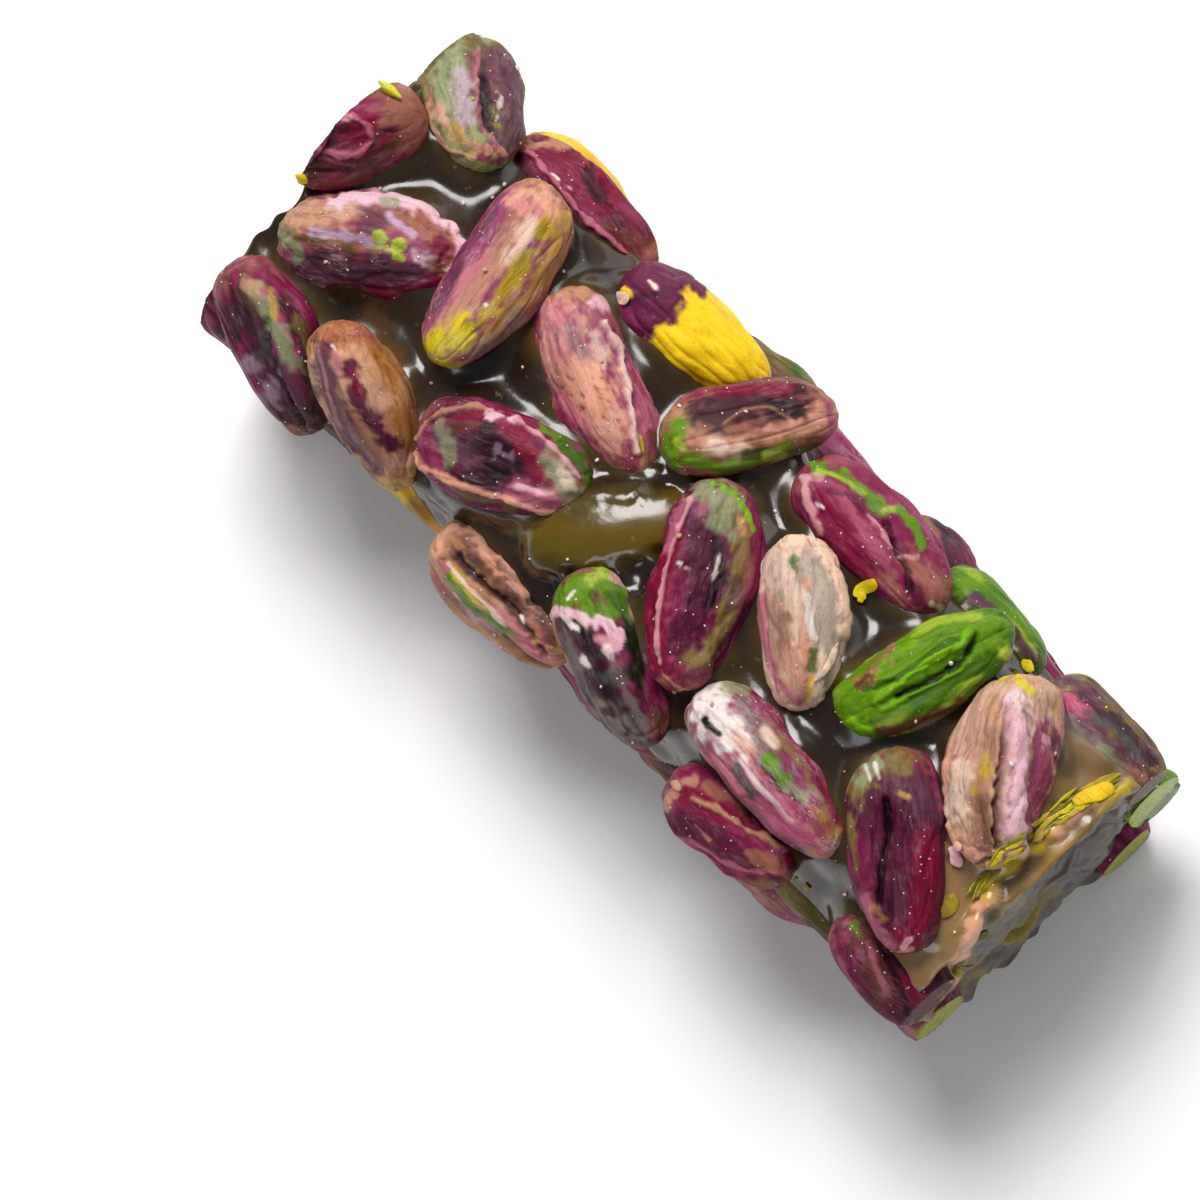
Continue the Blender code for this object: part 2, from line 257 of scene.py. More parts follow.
@dataclass(frozen=True)
class View:
    """The studio camera's view, from above the near cut, with its frame 1200 units wide and high.

    Attributes:
        back: The direction from the bar to the camera.
        right: The frame's direction to the right.
        up: The frame's direction upwards.
        middle: The place in the frame's middle, in millimetres.
        units_per_mm: The frame's units in a millimetre.
        half_frame: Half of the frame's width in units.
        lens: The focal length in millimetres.
        sensor: The sensor's width in millimetres.
        sharp_height: How far in front of the middle the scale holds, in millimetres.
        swing: Degrees that the camera is swung about the bar's length.
        swing_height: The height of the line that it is swung about, in millimetres.
        nearest: The nearest distance that shows, in metres.
        farthest: The farthest distance that shows, in metres.
    """

    back: Vector = Vector((0.2401, -0.0401, 0.9701))
    right: Vector = Vector((0.6747, 0.7254, -0.1370))
    up: Vector = Vector((-0.6980, 0.6874, 0.2011))
    middle: Vector = Vector((-4.74, -6.68, 0.90))
    units_per_mm: float = 12.8
    half_frame: float = 600.0
    lens: float = 200.0
    sensor: float = 36.0
    sharp_height: float = 20.0
    swing: float = -5.0
    swing_height: float = 26.0
    nearest: float = 0.01
    farthest: float = 20.0

    def project(self, points: np.ndarray) -> np.ndarray:
        """Where points stand in the frame.

        Args:
            points: Millimetres, one row each.

        Returns:
            Units across and down from the frame's upper left corner.
        """
        away = points - np.array(self.middle)
        across = self.half_frame + self.units_per_mm * (away @ np.array(self.right))
        down = self.half_frame - self.units_per_mm * (away @ np.array(self.up))
        return np.column_stack((across, down))

    def facing(self, normals: np.ndarray) -> np.ndarray:
        """How squarely each direction faces the view, 1 for straight on."""
        return normals @ np.array(self.back)

    def standing(self) -> Matrix:
        """Where the camera stands and how it is turned.

        Returns:
            The camera's matrix, in metres.
        """
        width = 2 * self.half_frame / self.units_per_mm
        distance = width * self.lens / self.sensor
        place = (self.middle + self.back * (self.sharp_height + distance)) * MM
        axes = Matrix((self.right, self.up, self.back)).transposed().to_4x4()
        pivot = Vector((0, 0, self.swing_height * MM))
        swing = Matrix.Rotation(math.radians(self.swing), 4, "X")
        about = Matrix.Translation(pivot) @ swing @ Matrix.Translation(-pivot)
        return about @ Matrix.Translation(place) @ axes

    def ray(self, spot: np.ndarray) -> tuple[Vector, Vector]:
        """The line of sight through a spot of the frame.

        Args:
            spot: Units across and down from the frame's upper left corner.

        Returns:
            Where it starts, in millimetres, and its direction.
        """
        reach = self.sensor / 2 / self.lens / self.half_frame
        way = Vector(((spot[0] - self.half_frame) * reach, (self.half_frame - spot[1]) * reach, -1))
        stand = self.standing()
        return stand.translation / MM, (stand.to_3x3() @ way).normalized()

    def add_camera(self) -> bpy.types.Object:
        """Adds the camera and makes it the scene's.

        Returns:
            The camera object.
        """
        data = bpy.data.cameras.new("camera")
        data.lens = self.lens
        data.sensor_width = self.sensor
        data.sensor_fit = "HORIZONTAL"
        data.clip_start = self.nearest
        data.clip_end = self.farthest
        camera = bpy.data.objects.new("camera", data)
        bpy.context.scene.collection.objects.link(camera)
        camera.matrix_world = self.standing()
        bpy.context.scene.camera = camera
        return camera


VIEW = View()


@dataclass(frozen=True)
class Section:
    """The jelly's rounded-square section across the bar, in millimetres.

    Attributes:
        half_width: Half of its breadth.
        half_height: Half of its height.
        squareness: The power of its outline, 2 for an ellipse and more for a squarer one.
        axis_height: The height of its middle.
        axis_across: Where its middle lies across the bar.
        half_length: Half of the bar's length.
        wave_height: How far the jelly's slow wave stands out.
        wave_length: How far along the bar the wave turns by a radian.
    """

    half_width: float = 12.6
    half_height: float = 10.6
    squareness: float = 3.2
    axis_height: float = 13.4
    axis_across: float = -0.08
    half_length: float = 40.5
    wave_height: float = 0.25
    wave_length: float = 9.0

    def ring(self, angles: np.ndarray) -> tuple[np.ndarray, np.ndarray]:
        """Points of the section and the directions outwards there.

        Args:
            angles: Round the bar in radians: 0 on top, a quarter turn at -Y.

        Returns:
            Rows of Y and Z about the axis, and rows of Y and Z of the directions.
        """
        y, z = -np.sin(angles), np.cos(angles)
        m = self.squareness
        reach = (np.abs(y / self.half_width) ** m + np.abs(z / self.half_height) ** m) ** (-1 / m)
        points = np.column_stack((y * reach, z * reach))
        slope = np.sign(points) * np.abs(points) ** (m - 1)
        slope /= np.array([self.half_width**m, self.half_height**m])
        return points, slope / np.linalg.norm(slope, axis=1, keepdims=True)

    def seat(self, along: float, around: float) -> tuple[Vector, Vector]:
        """A place on the surface and the direction out of the jelly there.

        Args:
            along: Millimetres from the bar's middle towards the near cut.
            around: Degrees round the bar from its top.

        Returns:
            The place in millimetres and the direction.
        """
        points, ways = self.ring(np.radians([around]))
        place = Vector((along, points[0, 0] + self.axis_across, points[0, 1] + self.axis_height))
        return place, Vector((0, ways[0, 0], ways[0, 1]))


SECTION = Section()


@dataclass(frozen=True)
class Stroke:
    """A line or dab of tint and relief, laid on the side of a piece that the view sees.

    Attributes:
        path: Across and down of each corner in turn, in the view's units.
        wide: Half of its width in the view's units.
        tint: Its colour, or None to leave the colour.
        share: How much of its tint covers.
        rise: How far it stands out in millimetres, or in when below 0.
        soft: How far its edge spreads, as a share of its half width.
        ragged: How far its edge wanders, as a share of its half width.
    """

    path: tuple[float, ...]
    wide: float
    tint: Tint | None = None
    share: float = 0.85
    rise: float = 0.0
    soft: float = 0.5
    ragged: float = 0.35

    def weight(self, seen: np.ndarray, wander: np.ndarray) -> np.ndarray:
        """How strongly the stroke covers each point.

        Args:
            seen: The points in the view's units.
            wander: Unevenness at each point, of spread about 1.

        Returns:
            From 0 off the stroke to 1 on it.
        """
        corners = np.array(self.path, float).reshape(-1, 2)
        if len(corners) == 1:
            off = np.linalg.norm(seen - corners[0], axis=1)
        else:
            off = np.full(len(seen), np.inf)
            for start, end in zip(corners[:-1], corners[1:]):
                step = end - start
                length = max(float(step @ step), 1e-9)
                t = np.clip((seen - start) @ step / length, 0, 1)
                off = np.minimum(off, np.linalg.norm(seen - start - t[:, None] * step, axis=1))
        off = off + wander * self.ragged * self.wide
        return smoothstep(self.wide * (1 + self.soft), self.wide * (1 - self.soft), off)


def dots(
    within: tuple[float, float, float, float], count: int, wide: float, tint: Tint
) -> tuple[Stroke, ...]:
    """Small dots scattered over a patch of a kernel's skin.

    Args:
        within: The patch's left, top, right and bottom in the view's units.
        count: How many dots there are.
        wide: Half of a dot's width in the view's units.
        tint: Their colour.

    Returns:
        One stroke a dot.
    """
    draw = np.random.default_rng(count)
    low, high = np.array(within[:2]), np.array(within[2:])
    places = draw.uniform(low, high, (count, 2))
    return tuple(
        Stroke((x, y), wide * draw.uniform(0.7, 1.3), tint, share=0.6, rise=-0.05, soft=0.6)
        for x, y in places
    )


class Graph:
    """Adds and joins shader nodes in one node tree.

    A Mix node has sockets for every kind of value, so those for a share and two colours go by number.
    """

    MIX_INPUTS = (0, 6, 7)
    MIX_OUTPUT = 2

    def __init__(self, tree: bpy.types.NodeTree) -> None:
        """Keeps the tree."""
        self.tree = tree

    def add(self, kind: str, sockets: dict[str, object] | None = None, **settings: object) -> bpy.types.Node:
        """Adds a node.

        Args:
            kind: The node's type name without its leading ShaderNode.
            sockets: Socket name or number to a value, or to the socket that feeds it.
            **settings: The node's own properties.

        Returns:
            The node.
        """
        node = self.tree.nodes.new("ShaderNode" + kind)
        for name, value in settings.items():
            setattr(node, name, value)
        for name, value in (sockets or {}).items():
            socket = node.inputs[name]
            if isinstance(value, bpy.types.NodeSocket):
                self.tree.links.new(value, socket)
            else:
                socket.default_value = value
        return node

    def math(
        self, operation: str, first: object, second: object = 0.0, clamp: bool = False
    ) -> bpy.types.NodeSocket:
        """Adds a Math node and gives its output."""
        return self.add("Math", {0: first, 1: second}, operation=operation, use_clamp=clamp).outputs[0]

    def noise(
        self,
        place: bpy.types.NodeSocket,
        scale: float,
        detail: float = 4,
        rough: float = 0.6,
        warp: float = 0.0,
    ) -> bpy.types.NodeSocket:
        """Adds a noise texture and gives its grey output."""
        values = {"Vector": place, "Scale": scale, "Detail": detail, "Roughness": rough, "Distortion": warp}
        return self.add("TexNoise", values).outputs["Fac"]

    def ramp(
        self, value: bpy.types.NodeSocket, low: float, high: float, top: object = 1.0
    ) -> bpy.types.NodeSocket:
        """Adds nodes that rise smoothly from 0.

        Args:
            value: What is mapped.
            low: The value that gives 0.
            high: The value that gives the top; it may be below low.
            top: The greatest output, a number or a socket.

        Returns:
            The output.
        """
        node = self.add("MapRange", {"Value": value}, interpolation_type="SMOOTHSTEP")
        node.inputs["From Min"].default_value = low
        node.inputs["From Max"].default_value = high
        if isinstance(top, bpy.types.NodeSocket):
            return self.math("MULTIPLY", node.outputs["Result"], top)
        node.inputs["To Max"].default_value = top
        return node.outputs["Result"]

    def mix(self, share: object, first: object, second: object, how: str = "MIX") -> bpy.types.NodeSocket:
        """Adds a node that mixes two colours.

        Args:
            share: How much of the second there is, a number or a socket.
            first: The first colour, three numbers or a socket.
            second: The second colour, the same.
            how: The node's way to blend.

        Returns:
            The output.
        """
        node = self.add("Mix", data_type="RGBA", blend_type=how, clamp_factor=True)
        for number, value in zip(self.MIX_INPUTS, (share, first, second)):
            if isinstance(value, bpy.types.NodeSocket):
                self.tree.links.new(value, node.inputs[number])
            elif number == self.MIX_INPUTS[0]:
                node.inputs[number].default_value = value
            else:
                node.inputs[number].default_value = (*value, 1.0)
        return node.outputs[self.MIX_OUTPUT]


@dataclass(frozen=True)
class SocketSpec:
    """One socket of a node group: its name, its kind and, for an input, its first value."""

    name: str
    kind: str = "NodeSocketFloat"
    value: float | None = None


def new_group(
    name: str, takes: tuple[SocketSpec, ...], gives: tuple[SocketSpec, ...]
) -> tuple[bpy.types.NodeTree, bpy.types.Node, bpy.types.Node]:
    """Makes an empty shader node group.

    Args:
        name: The group's name.
        takes: Its inputs.
        gives: Its outputs.

    Returns:
        The tree, its input node and its output node.
    """
    tree = bpy.data.node_groups.new(name, "ShaderNodeTree")
    for spec in takes:
        socket = tree.interface.new_socket(spec.name, in_out="INPUT", socket_type=spec.kind)
        if spec.value is not None:
            socket.default_value = spec.value
    for spec in gives:
        tree.interface.new_socket(spec.name, in_out="OUTPUT", socket_type=spec.kind)
    return tree, tree.nodes.new("NodeGroupInput"), tree.nodes.new("NodeGroupOutput")


class SkinGroup:
    """The kernel skin's fine look: fibres along the kernel, pores, dusty bloom and sugar specks."""

    NAME = "kernel skin detail"

    def tree(self) -> bpy.types.NodeTree:
        """Gives the group, made at its first use.

        Returns:
            The shader node group.
        """
        found = bpy.data.node_groups.get(self.NAME)
        return found or self._make()

    def _make(self) -> bpy.types.NodeTree:
        """Builds the group's nodes.

        Returns:
            The shader node group.
        """
        takes = (
            SocketSpec("Paint", "NodeSocketColor"),
            SocketSpec("Lie", "NodeSocketVector"),
            SocketSpec("Fibre", value=0.6),
            SocketSpec("Bloom", value=0.3),
            SocketSpec("Specks", value=1.0),
            SocketSpec("Gloss", value=0.0),
        )
        gives = (SocketSpec("Colour", "NodeSocketColor"), SocketSpec("Roughness"), SocketSpec("Height"))
        tree, inlet, outlet = new_group(self.NAME, takes, gives)
        g = Graph(tree)
        lie = inlet.outputs["Lie"]
        paint = inlet.outputs["Paint"]
        stretched = g.add("VectorMath", {0: lie, 1: (0.22, 1.0, 1.0)}, operation="MULTIPLY").outputs[0]
        fibre = g.noise(stretched, 1.5, 8, 0.68, 0.5)
        fine = g.noise(stretched, 5.5, 5, 0.6, 0.3)
        grain = g.noise(lie, 7.0, 4, 0.65)
        dark = g.ramp(fibre, 0.52, 0.34, inlet.outputs["Fibre"])
        shade = g.mix(1.0, paint, (0.36, 0.26, 0.30), "MULTIPLY")
        colour = g.mix(dark, paint, shade)
        light = g.ramp(fibre, 0.54, 0.72, inlet.outputs["Fibre"])
        lifted = g.mix(0.30, colour, (0.80, 0.52, 0.50), "SCREEN")
        colour = g.mix(g.math("MULTIPLY", light, 0.62), colour, lifted)
        pores = g.ramp(grain, 0.44, 0.33, 0.55)
        colour = g.mix(pores, colour, g.mix(1.0, colour, (0.40, 0.30, 0.32), "MULTIPLY"))
        dust = g.math("MULTIPLY", g.ramp(g.noise(lie, 0.42, 3, 0.55), 0.44, 0.66), g.ramp(fine, 0.42, 0.62))
        dust = g.math("MULTIPLY", dust, g.math("MULTIPLY", inlet.outputs["Bloom"], 0.45))
        colour = g.mix(dust, colour, (0.72, 0.60, 0.60))
        cells = g.add("TexVoronoi", {"Vector": lie, "Scale": 1.9, "Randomness": 1.0})
        few = g.add("SeparateColor", {0: cells.outputs["Color"]}).outputs[0]
        speck = g.math("MULTIPLY", g.ramp(cells.outputs["Distance"], 0.17, 0.10), g.ramp(few, 0.80, 0.82))
        speck = g.math("MULTIPLY", speck, inlet.outputs["Specks"])
        colour = g.mix(g.math("MULTIPLY", speck, 0.8), colour, (0.90, 0.80, 0.76))
        rough = g.math("ADD", g.ramp(grain, 0.35, 0.65, 0.16), 0.40)
        rough = g.math("SUBTRACT", rough, g.math("MULTIPLY", inlet.outputs["Gloss"], 0.22))
        rough = g.math("ADD", rough, g.math("MULTIPLY", dust, 0.25), clamp=True)
        height = g.math("ADD", g.math("MULTIPLY", fibre, 1.0), g.math("MULTIPLY", fine, 0.30))
        height = g.math("ADD", height, g.math("MULTIPLY", grain, 0.30))
        height = g.math("ADD", height, g.math("MULTIPLY", speck, 0.5))
        for socket, name in ((colour, "Colour"), (rough, "Roughness"), (height, "Height")):
            tree.links.new(socket, outlet.inputs[name])
        return tree


@dataclass(frozen=True)
class SkinFinish:
    """The skin and flesh of one sort of kernel.

    Attributes:
        slot: The record's material slot.
        base: The colour over most of it.
        blotch: The colour of its large blotches.
        streak: The colour of its lengthwise streaks.
        tip: The colour towards its ends.
        crest: The colour along ridges and rims.
        hollow: The colour of the painted shade in hollows and creases.
        fibre: How strong the fine fibres are.
        bloom: How dusty it is.
        specks: How many sugar specks show.
        gloss: How oily it is.
    """

    slot: str
    base: Tint
    blotch: Tint
    streak: Tint
    tip: Tint
    crest: Tint
    hollow: Tint
    fibre: float = 0.55
    bloom: float = 0.35
    specks: float = 1.0
    gloss: float = 0.2

    def material(self) -> bpy.types.Material:
        """Gives the finish's material, made at its first use.

        Returns:
            A Principled material that reads the piece's paint and lie attributes.
        """
        found = bpy.data.materials.get("kernel " + self.slot)
        if found:
            return found
        made = bpy.data.materials.new("kernel " + self.slot)
        made.use_nodes = True
        g = Graph(made.node_tree)
        shader = made.node_tree.nodes["Principled BSDF"]
        paint = g.add("Attribute", attribute_name="paint").outputs["Color"]
        lie = g.add("Attribute", attribute_name="lie").outputs["Vector"]
        detail = made.node_tree.nodes.new("ShaderNodeGroup")
        detail.node_tree = SkinGroup().tree()
        for name in ("Fibre", "Bloom", "Specks", "Gloss"):
            detail.inputs[name].default_value = getattr(self, name.lower())
        links = made.node_tree.links
        links.new(paint, detail.inputs["Paint"])
        links.new(lie, detail.inputs["Lie"])
        links.new(detail.outputs["Colour"], shader.inputs["Base Color"])
        links.new(detail.outputs["Roughness"], shader.inputs["Roughness"])
        bump = g.add("Bump", {"Height": detail.outputs["Height"], "Strength": 0.6, "Distance": 0.20 * MM})
        links.new(bump.outputs["Normal"], shader.inputs["Normal"])
        shader.inputs["Specular IOR Level"].default_value = 0.13
        return made


# Each finish's hollow colour is a darker painted shade, laid in the kernel's hollows and creases
PLUM_SKIN = SkinFinish(
    "plum_skin",
    base=Tint.MAGENTA, blotch=Tint.PLUM, streak=Tint.ORCHID,
    tip=Tint.TAN, crest=Tint.BLUSH, hollow=Tint.INK,
    fibre=0.5, bloom=0.15,
)
ROSE_SKIN = SkinFinish(
    "rose_skin",
    base=Tint.ORCHID, blotch=Tint.TAN, streak=Tint.MAGENTA,
    tip=Tint.STRAW, crest=Tint.BLUSH, hollow=Tint.PLUM,
    bloom=0.5,
)
TAN_SKIN = SkinFinish(
    "tan_skin",
    base=Tint.SAND, blotch=Tint.TAN, streak=Tint.ORCHID,
    tip=Tint.STRAW, crest=Tint.CREAM, hollow=Tint.UMBER,
    bloom=0.4,
)
OLIVE_SKIN = SkinFinish(
    "olive_skin",
    base=Tint.OLIVE, blotch=Tint.GRAPE, streak=Tint.TAN,
    tip=Tint.LIME, crest=Tint.SAND, hollow=Tint.BARK,
    bloom=0.3,
)
GREEN_FLESH = SkinFinish(
    "green_flesh",
    base=Tint.LEAF, blotch=Tint.FERN, streak=Tint.LIME,
    tip=Tint.FERN, crest=Tint.LIME, hollow=Tint.PINE,
    fibre=0.35, bloom=0.0, specks=0.5, gloss=0.7,
)
YELLOW_FLESH = SkinFinish(
    "yellow_flesh",
    base=Tint.GOLD, blotch=Tint.AMBER, streak=Tint.STRAW,
    tip=Tint.OLIVE, crest=Tint.GOLD, hollow=Tint.OLIVE,
    fibre=0.25, bloom=0.0, specks=0.3, gloss=0.6,
)


def joined(name: str, pieces: list[bpy.types.Object], finish: SkinFinish) -> bpy.types.Object:
    """Joins pieces in one, dresses it and lets it ride on the bar.

    Args:
        name: The finished piece's name.
        pieces: The pieces.
        finish: Their sort of skin or flesh.

    Returns:
        The finished piece.
    """
    select_only(pieces[0])
    for piece in pieces:
        piece.select_set(True)
    bpy.ops.object.join()
    made = bpy.context.active_object
    made.name = made.data.name = name
    made.data.materials.clear()
    made.data.materials.append(finish.material())
    made.data.shade_smooth()
    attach(made, "root")
    return made


class Form(Enum):
    """What a kernel's outward side is like."""

    SMOOTH = "smooth"
    RIDGE = "ridge"
    DISH = "dish"
    GROOVE = "groove"
    WRINKLE = "wrinkle"


@dataclass
class Kernel:
    """One pistachio kernel, worked up from its solid.

    Attributes:
        number: The number in its node's name.
        along: Its first place along the bar in millimetres, from the middle.
        around: Degrees round the bar from its top.
        turn: Degrees from the bar's length to the kernel's, in the surface.
        length: Millimetres from tip to tip.
        width: Millimetres across; not used.
        form: What its outward side is like.
        finish: Its sort of skin or flesh.
        tilt: How far its near tip dips, in radians.
        roll: How far it is rolled about its length, in radians.
        strokes: Features of the side that the view sees.
        levels: How often it is subdivided.
        sink: How far its middle lies under the jelly's surface before it settles, in millimetres.
        drawn: Where its middle stood in the view as its strokes were drawn, if not at its first place.
        depth: The power that its colours are raised to, more for deeper colours.

    Corners of the solid that lie within CORNER_SLACK of a knife's plane or the floor are on it, and so
    are finished points within FACE_SLACK. A kernel that lacks more than LEAST_TRIM of its length is a
    sliced one. These and MERGED_WITHIN are millimetres. The smoothed kernel grows back to its solid's
    size by MOST_GROWTH at most, and then by PLUMPNESS along, across and outwards. A sliced point takes
    flesh colour as its direction comes within FLAT_RANGE of straight. Each kernel's fine detail lies
    DETAIL_STEP millimetres from the last one's, so that no two are alike.
    """

    number: int
    along: float
    around: float
    turn: float
    length: float
    width: float
    form: Form
    finish: SkinFinish
    tilt: float = 0.0
    roll: float = 0.0
    strokes: tuple[Stroke, ...] = ()
    levels: int = 3
    sink: float = 0.7
    drawn: tuple[float, ...] = ()
    depth: float = 1.2

    CORNER_SLACK = 0.03
    FACE_SLACK = 0.04
    LEAST_TRIM = 0.4
    MERGED_WITHIN = 0.01
    RIM_CREASE = 0.9
    QUAD_ANGLES = (50, 60)
    MOST_GROWTH = 1.12
    PLUMPNESS = (1.0, 1.035, 1.03)
    FLAT_RANGE = (0.75, 0.97)
    DETAIL_STEP = (7.3, 3.1, 5.7)
    SEEDS_EACH = 10
    PAINT_SEED = 7
    EDGE_SEED = 5

    @property
    def node(self) -> str:
        """The name of the kernel's solid."""
        return f"kernel_{self.number:02d}"

    def build(self) -> bpy.types.Object:
        """Makes the kernel, dresses it and lets it stand for its solid.

        Returns:
            The finished piece.
        """
        piece = self._smoothed_copy()
        mesh = piece.data
        axes, centre = self._axes(), self._centre()
        local = self._fill_out(points_of(mesh) / MM @ axes)
        points = local @ axes.T
        put_points(mesh, points * MM)
        normals = normals_of(mesh)
        crest, hollow, rise = self._form_relief(local - centre)
        flat = self._cut_faces(points)
        rise = rise + self._skin_relief(local - centre)
        seen = VIEW.project(points) - self._shift(centre @ axes.T)
        covers = self._covers(points, normals, seen)
        for stroke, cover in zip(self.strokes, covers):
            rise = rise + cover * stroke.rise
        points = points + normals * (rise * (1 - flat))[:, None]
        half = SECTION.half_length
        points[:, 0] = np.clip(points[:, 0], -half, half)
        points[:, 2] = np.maximum(points[:, 2], 0)
        put_points(mesh, points * MM)
        level = smoothstep(*self.FLAT_RANGE, np.maximum(np.abs(normals[:, 0]), -normals[:, 2]))
        colours = self._colours(local - centre, crest, hollow, flat * level)
        for stroke, cover in zip(self.strokes, covers):
            if stroke.tint:
                colours = mixed(colours, stroke.tint.rgb, cover * stroke.share)
        put_paint(mesh, "paint", colours**self.depth)
        put_values(mesh, "lie", local - centre + self.number * np.array(self.DETAIL_STEP))
        mesh.materials.clear()
        mesh.materials.append(self.finish.material())
        mesh.shade_smooth()
        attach(piece, "root")
        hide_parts(self.node)
        return piece

    def _smoothed_copy(self) -> bpy.types.Object:
        """Copies the solid's mesh, merges it, keeps its knife-cut rims and subdivides it.

        Returns:
            The copy.
        """
        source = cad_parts[self.node]
        piece = bpy.data.objects.new(f"pistachio_{self.number:02d}", source.data.copy())
        bpy.context.scene.collection.objects.link(piece)
        select_only(piece)
        bpy.ops.object.mode_set(mode="EDIT")
        bpy.ops.mesh.select_all(action="SELECT")
        bpy.ops.mesh.remove_doubles(threshold=self.MERGED_WITHIN * MM)
        face_angle, shape_angle = map(math.radians, self.QUAD_ANGLES)
        bpy.ops.mesh.tris_convert_to_quads(face_threshold=face_angle, shape_threshold=shape_angle)
        bpy.ops.mesh.normals_make_consistent(inside=False)
        bpy.ops.mesh.select_all(action="DESELECT")
        bpy.ops.object.mode_set(mode="OBJECT")
        mesh = piece.data
        points = points_of(mesh) / MM
        on_cut = np.abs(points[:, 0]) > SECTION.half_length - self.CORNER_SLACK
        on_cut |= points[:, 2] < self.CORNER_SLACK
        creases = mesh.attributes.new("crease_edge", "FLOAT", "EDGE")
        for edge in mesh.edges:
            creases.data[edge.index].value = self.RIM_CREASE if on_cut[list(edge.vertices)].all() else 0.0
        modifier = piece.modifiers.new("smoothing", "SUBSURF")
        modifier.levels = modifier.render_levels = self.levels
        bpy.ops.object.modifier_apply(modifier=modifier.name)
        return piece

    def _axes(self) -> np.ndarray:
        """The kernel's own directions.

        Returns:
            Its length, breadth and outward direction, as the columns of a matrix.
        """
        _, outward = SECTION.seat(self.along, self.around)
        sideways = outward.cross(Vector((1, 0, 0)))
        turn = math.radians(self.turn)
        lengthwise = Vector((1, 0, 0)) * math.cos(turn) + sideways * math.sin(turn)
        axes = Matrix((lengthwise, outward.cross(lengthwise), outward)).transposed().to_4x4()
        lean = Matrix.Rotation(self.tilt, 4, "Y") @ Matrix.Rotation(self.roll, 4, "X")
        return np.array((axes @ lean).to_3x3())

    def _centre(self) -> np.ndarray:
        """The middle of the whole kernel, also where the knife has taken an end off.

        Returns:
            The middle along the kernel's own axes, in millimetres.
        """
        solid = points_of(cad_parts[self.node].data) / MM
        cage = solid @ self._axes()
        low, high = cage.min(0), cage.max(0)
        middle = (low + high) / 2
        if high[0] - low[0] < self.length - self.LEAST_TRIM:
            cut = solid[:, 0].max() > SECTION.half_length - self.CORNER_SLACK
            inner = cage[solid[:, 0].argmin() if cut else solid[:, 0].argmax(), 0]
            middle[0] = inner + math.copysign(self.length / 2, (low + high)[0] / 2 - inner)
        return middle

    def _fill_out(self, local: np.ndarray) -> np.ndarray:
        """Brings the smoothed kernel back out to its solid's size.

        Args:
            local: Its points along its own axes, in millimetres.

        Returns:
            The points after that.
        """
        cage = points_of(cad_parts[self.node].data) / MM @ self._axes()
        size = np.maximum(local.max(0) - local.min(0), 1e-6)
        growth = np.clip((cage.max(0) - cage.min(0)) / size, 1.0, self.MOST_GROWTH)
        middle, aim = (local.max(0) + local.min(0)) / 2, (cage.max(0) + cage.min(0)) / 2
        return (local - middle) * (growth * np.array(self.PLUMPNESS)) + aim

    def _form_relief(self, lie: np.ndarray) -> tuple[np.ndarray, np.ndarray, np.ndarray]:
        """The ridges and hollows of the kernel's form, sharper than its solid has them.

        Args:
            lie: Points from the kernel's middle along its own axes, in millimetres.

        Returns:
            How much each point is on a crest, how much in a hollow, and its rise in millimetres.
        """
        s = lie[:, 0] / (self.length / 2)
        fade = np.sqrt(np.clip(1 - s**2, 0, 1))
        phase = self.number * 1.7
        sway = 7 * np.sin(2.3 * s + phase) + 3 * np.sin(5.1 * s + 2 * phase)
        angle = np.degrees(np.arctan2(lie[:, 1], lie[:, 2])) - sway
        crest, hollow = np.zeros(len(s)), np.zeros(len(s))
        if self.form is Form.RIDGE:
            crest = np.exp(-np.abs(angle) / 8) * fade
            hollow = 0.5 * np.exp(-(((np.abs(angle) - 42) / 20) ** 2)) * fade
        elif self.form is Form.DISH:
            reach = np.hypot(s / 0.82, angle / 44)
            crest = np.exp(-(((reach - 1) / 0.17) ** 2)) * smoothstep(1.1, 0.9, np.abs(s))
            hollow = smoothstep(0.95, 0.45, reach)
        elif self.form is Form.GROOVE:
            hollow = np.exp(-np.abs(angle) / 7) * fade
            crest = 0.6 * np.exp(-(((np.abs(angle) - 30) / 13) ** 2)) * fade
        elif self.form is Form.WRINKLE:
            hollow = np.exp(-np.abs(angle - 28) / 7) + np.exp(-np.abs(angle + 26) / 7)
            hollow = np.clip(hollow, 0, 1) * fade
        depths = {Form.RIDGE: 0.14, Form.DISH: -0.15, Form.GROOVE: 0.30, Form.WRINKLE: 0.36}
        return crest, hollow, crest * 0.24 - hollow * depths.get(self.form, 0.0)

    def _skin_relief(self, lie: np.ndarray) -> np.ndarray:
        """The unevenness of a dried skin: lumps, and wrinkles that run lengthwise.

        Args:
            lie: Points from the kernel's middle along its own axes, in millimetres.

        Returns:
            Millimetres outwards.
        """
        seed = self.number * self.SEEDS_EACH
        drawn = lie * np.array([0.24, 1.0, 1.0])
        s = lie[:, 0] / (self.length / 2)
        lumps = waves(lie, 5.5, seed) * 0.13
        folds = np.abs(waves(drawn, 2.6, seed + 1))
        folds = -0.16 * np.clip(1 - folds * 1.6, 0, 1) ** 1.5
        fibres = waves(drawn, 1.1, seed + 2) * 0.05
        pits = -0.05 * smoothstep(1.0, 2.0, waves(lie, 1.3, seed + 3))
        return (lumps + folds + fibres + pits) * (1 - 0.5 * np.abs(s) ** 3)

    def _cut_faces(self, points: np.ndarray) -> np.ndarray:
        """1 where the knife has sliced the kernel or the floor flattens it, and 0 elsewhere."""
        cut = np.abs(points[:, 0]) > SECTION.half_length - self.FACE_SLACK
        return (cut | (points[:, 2] < self.FACE_SLACK)).astype(float)

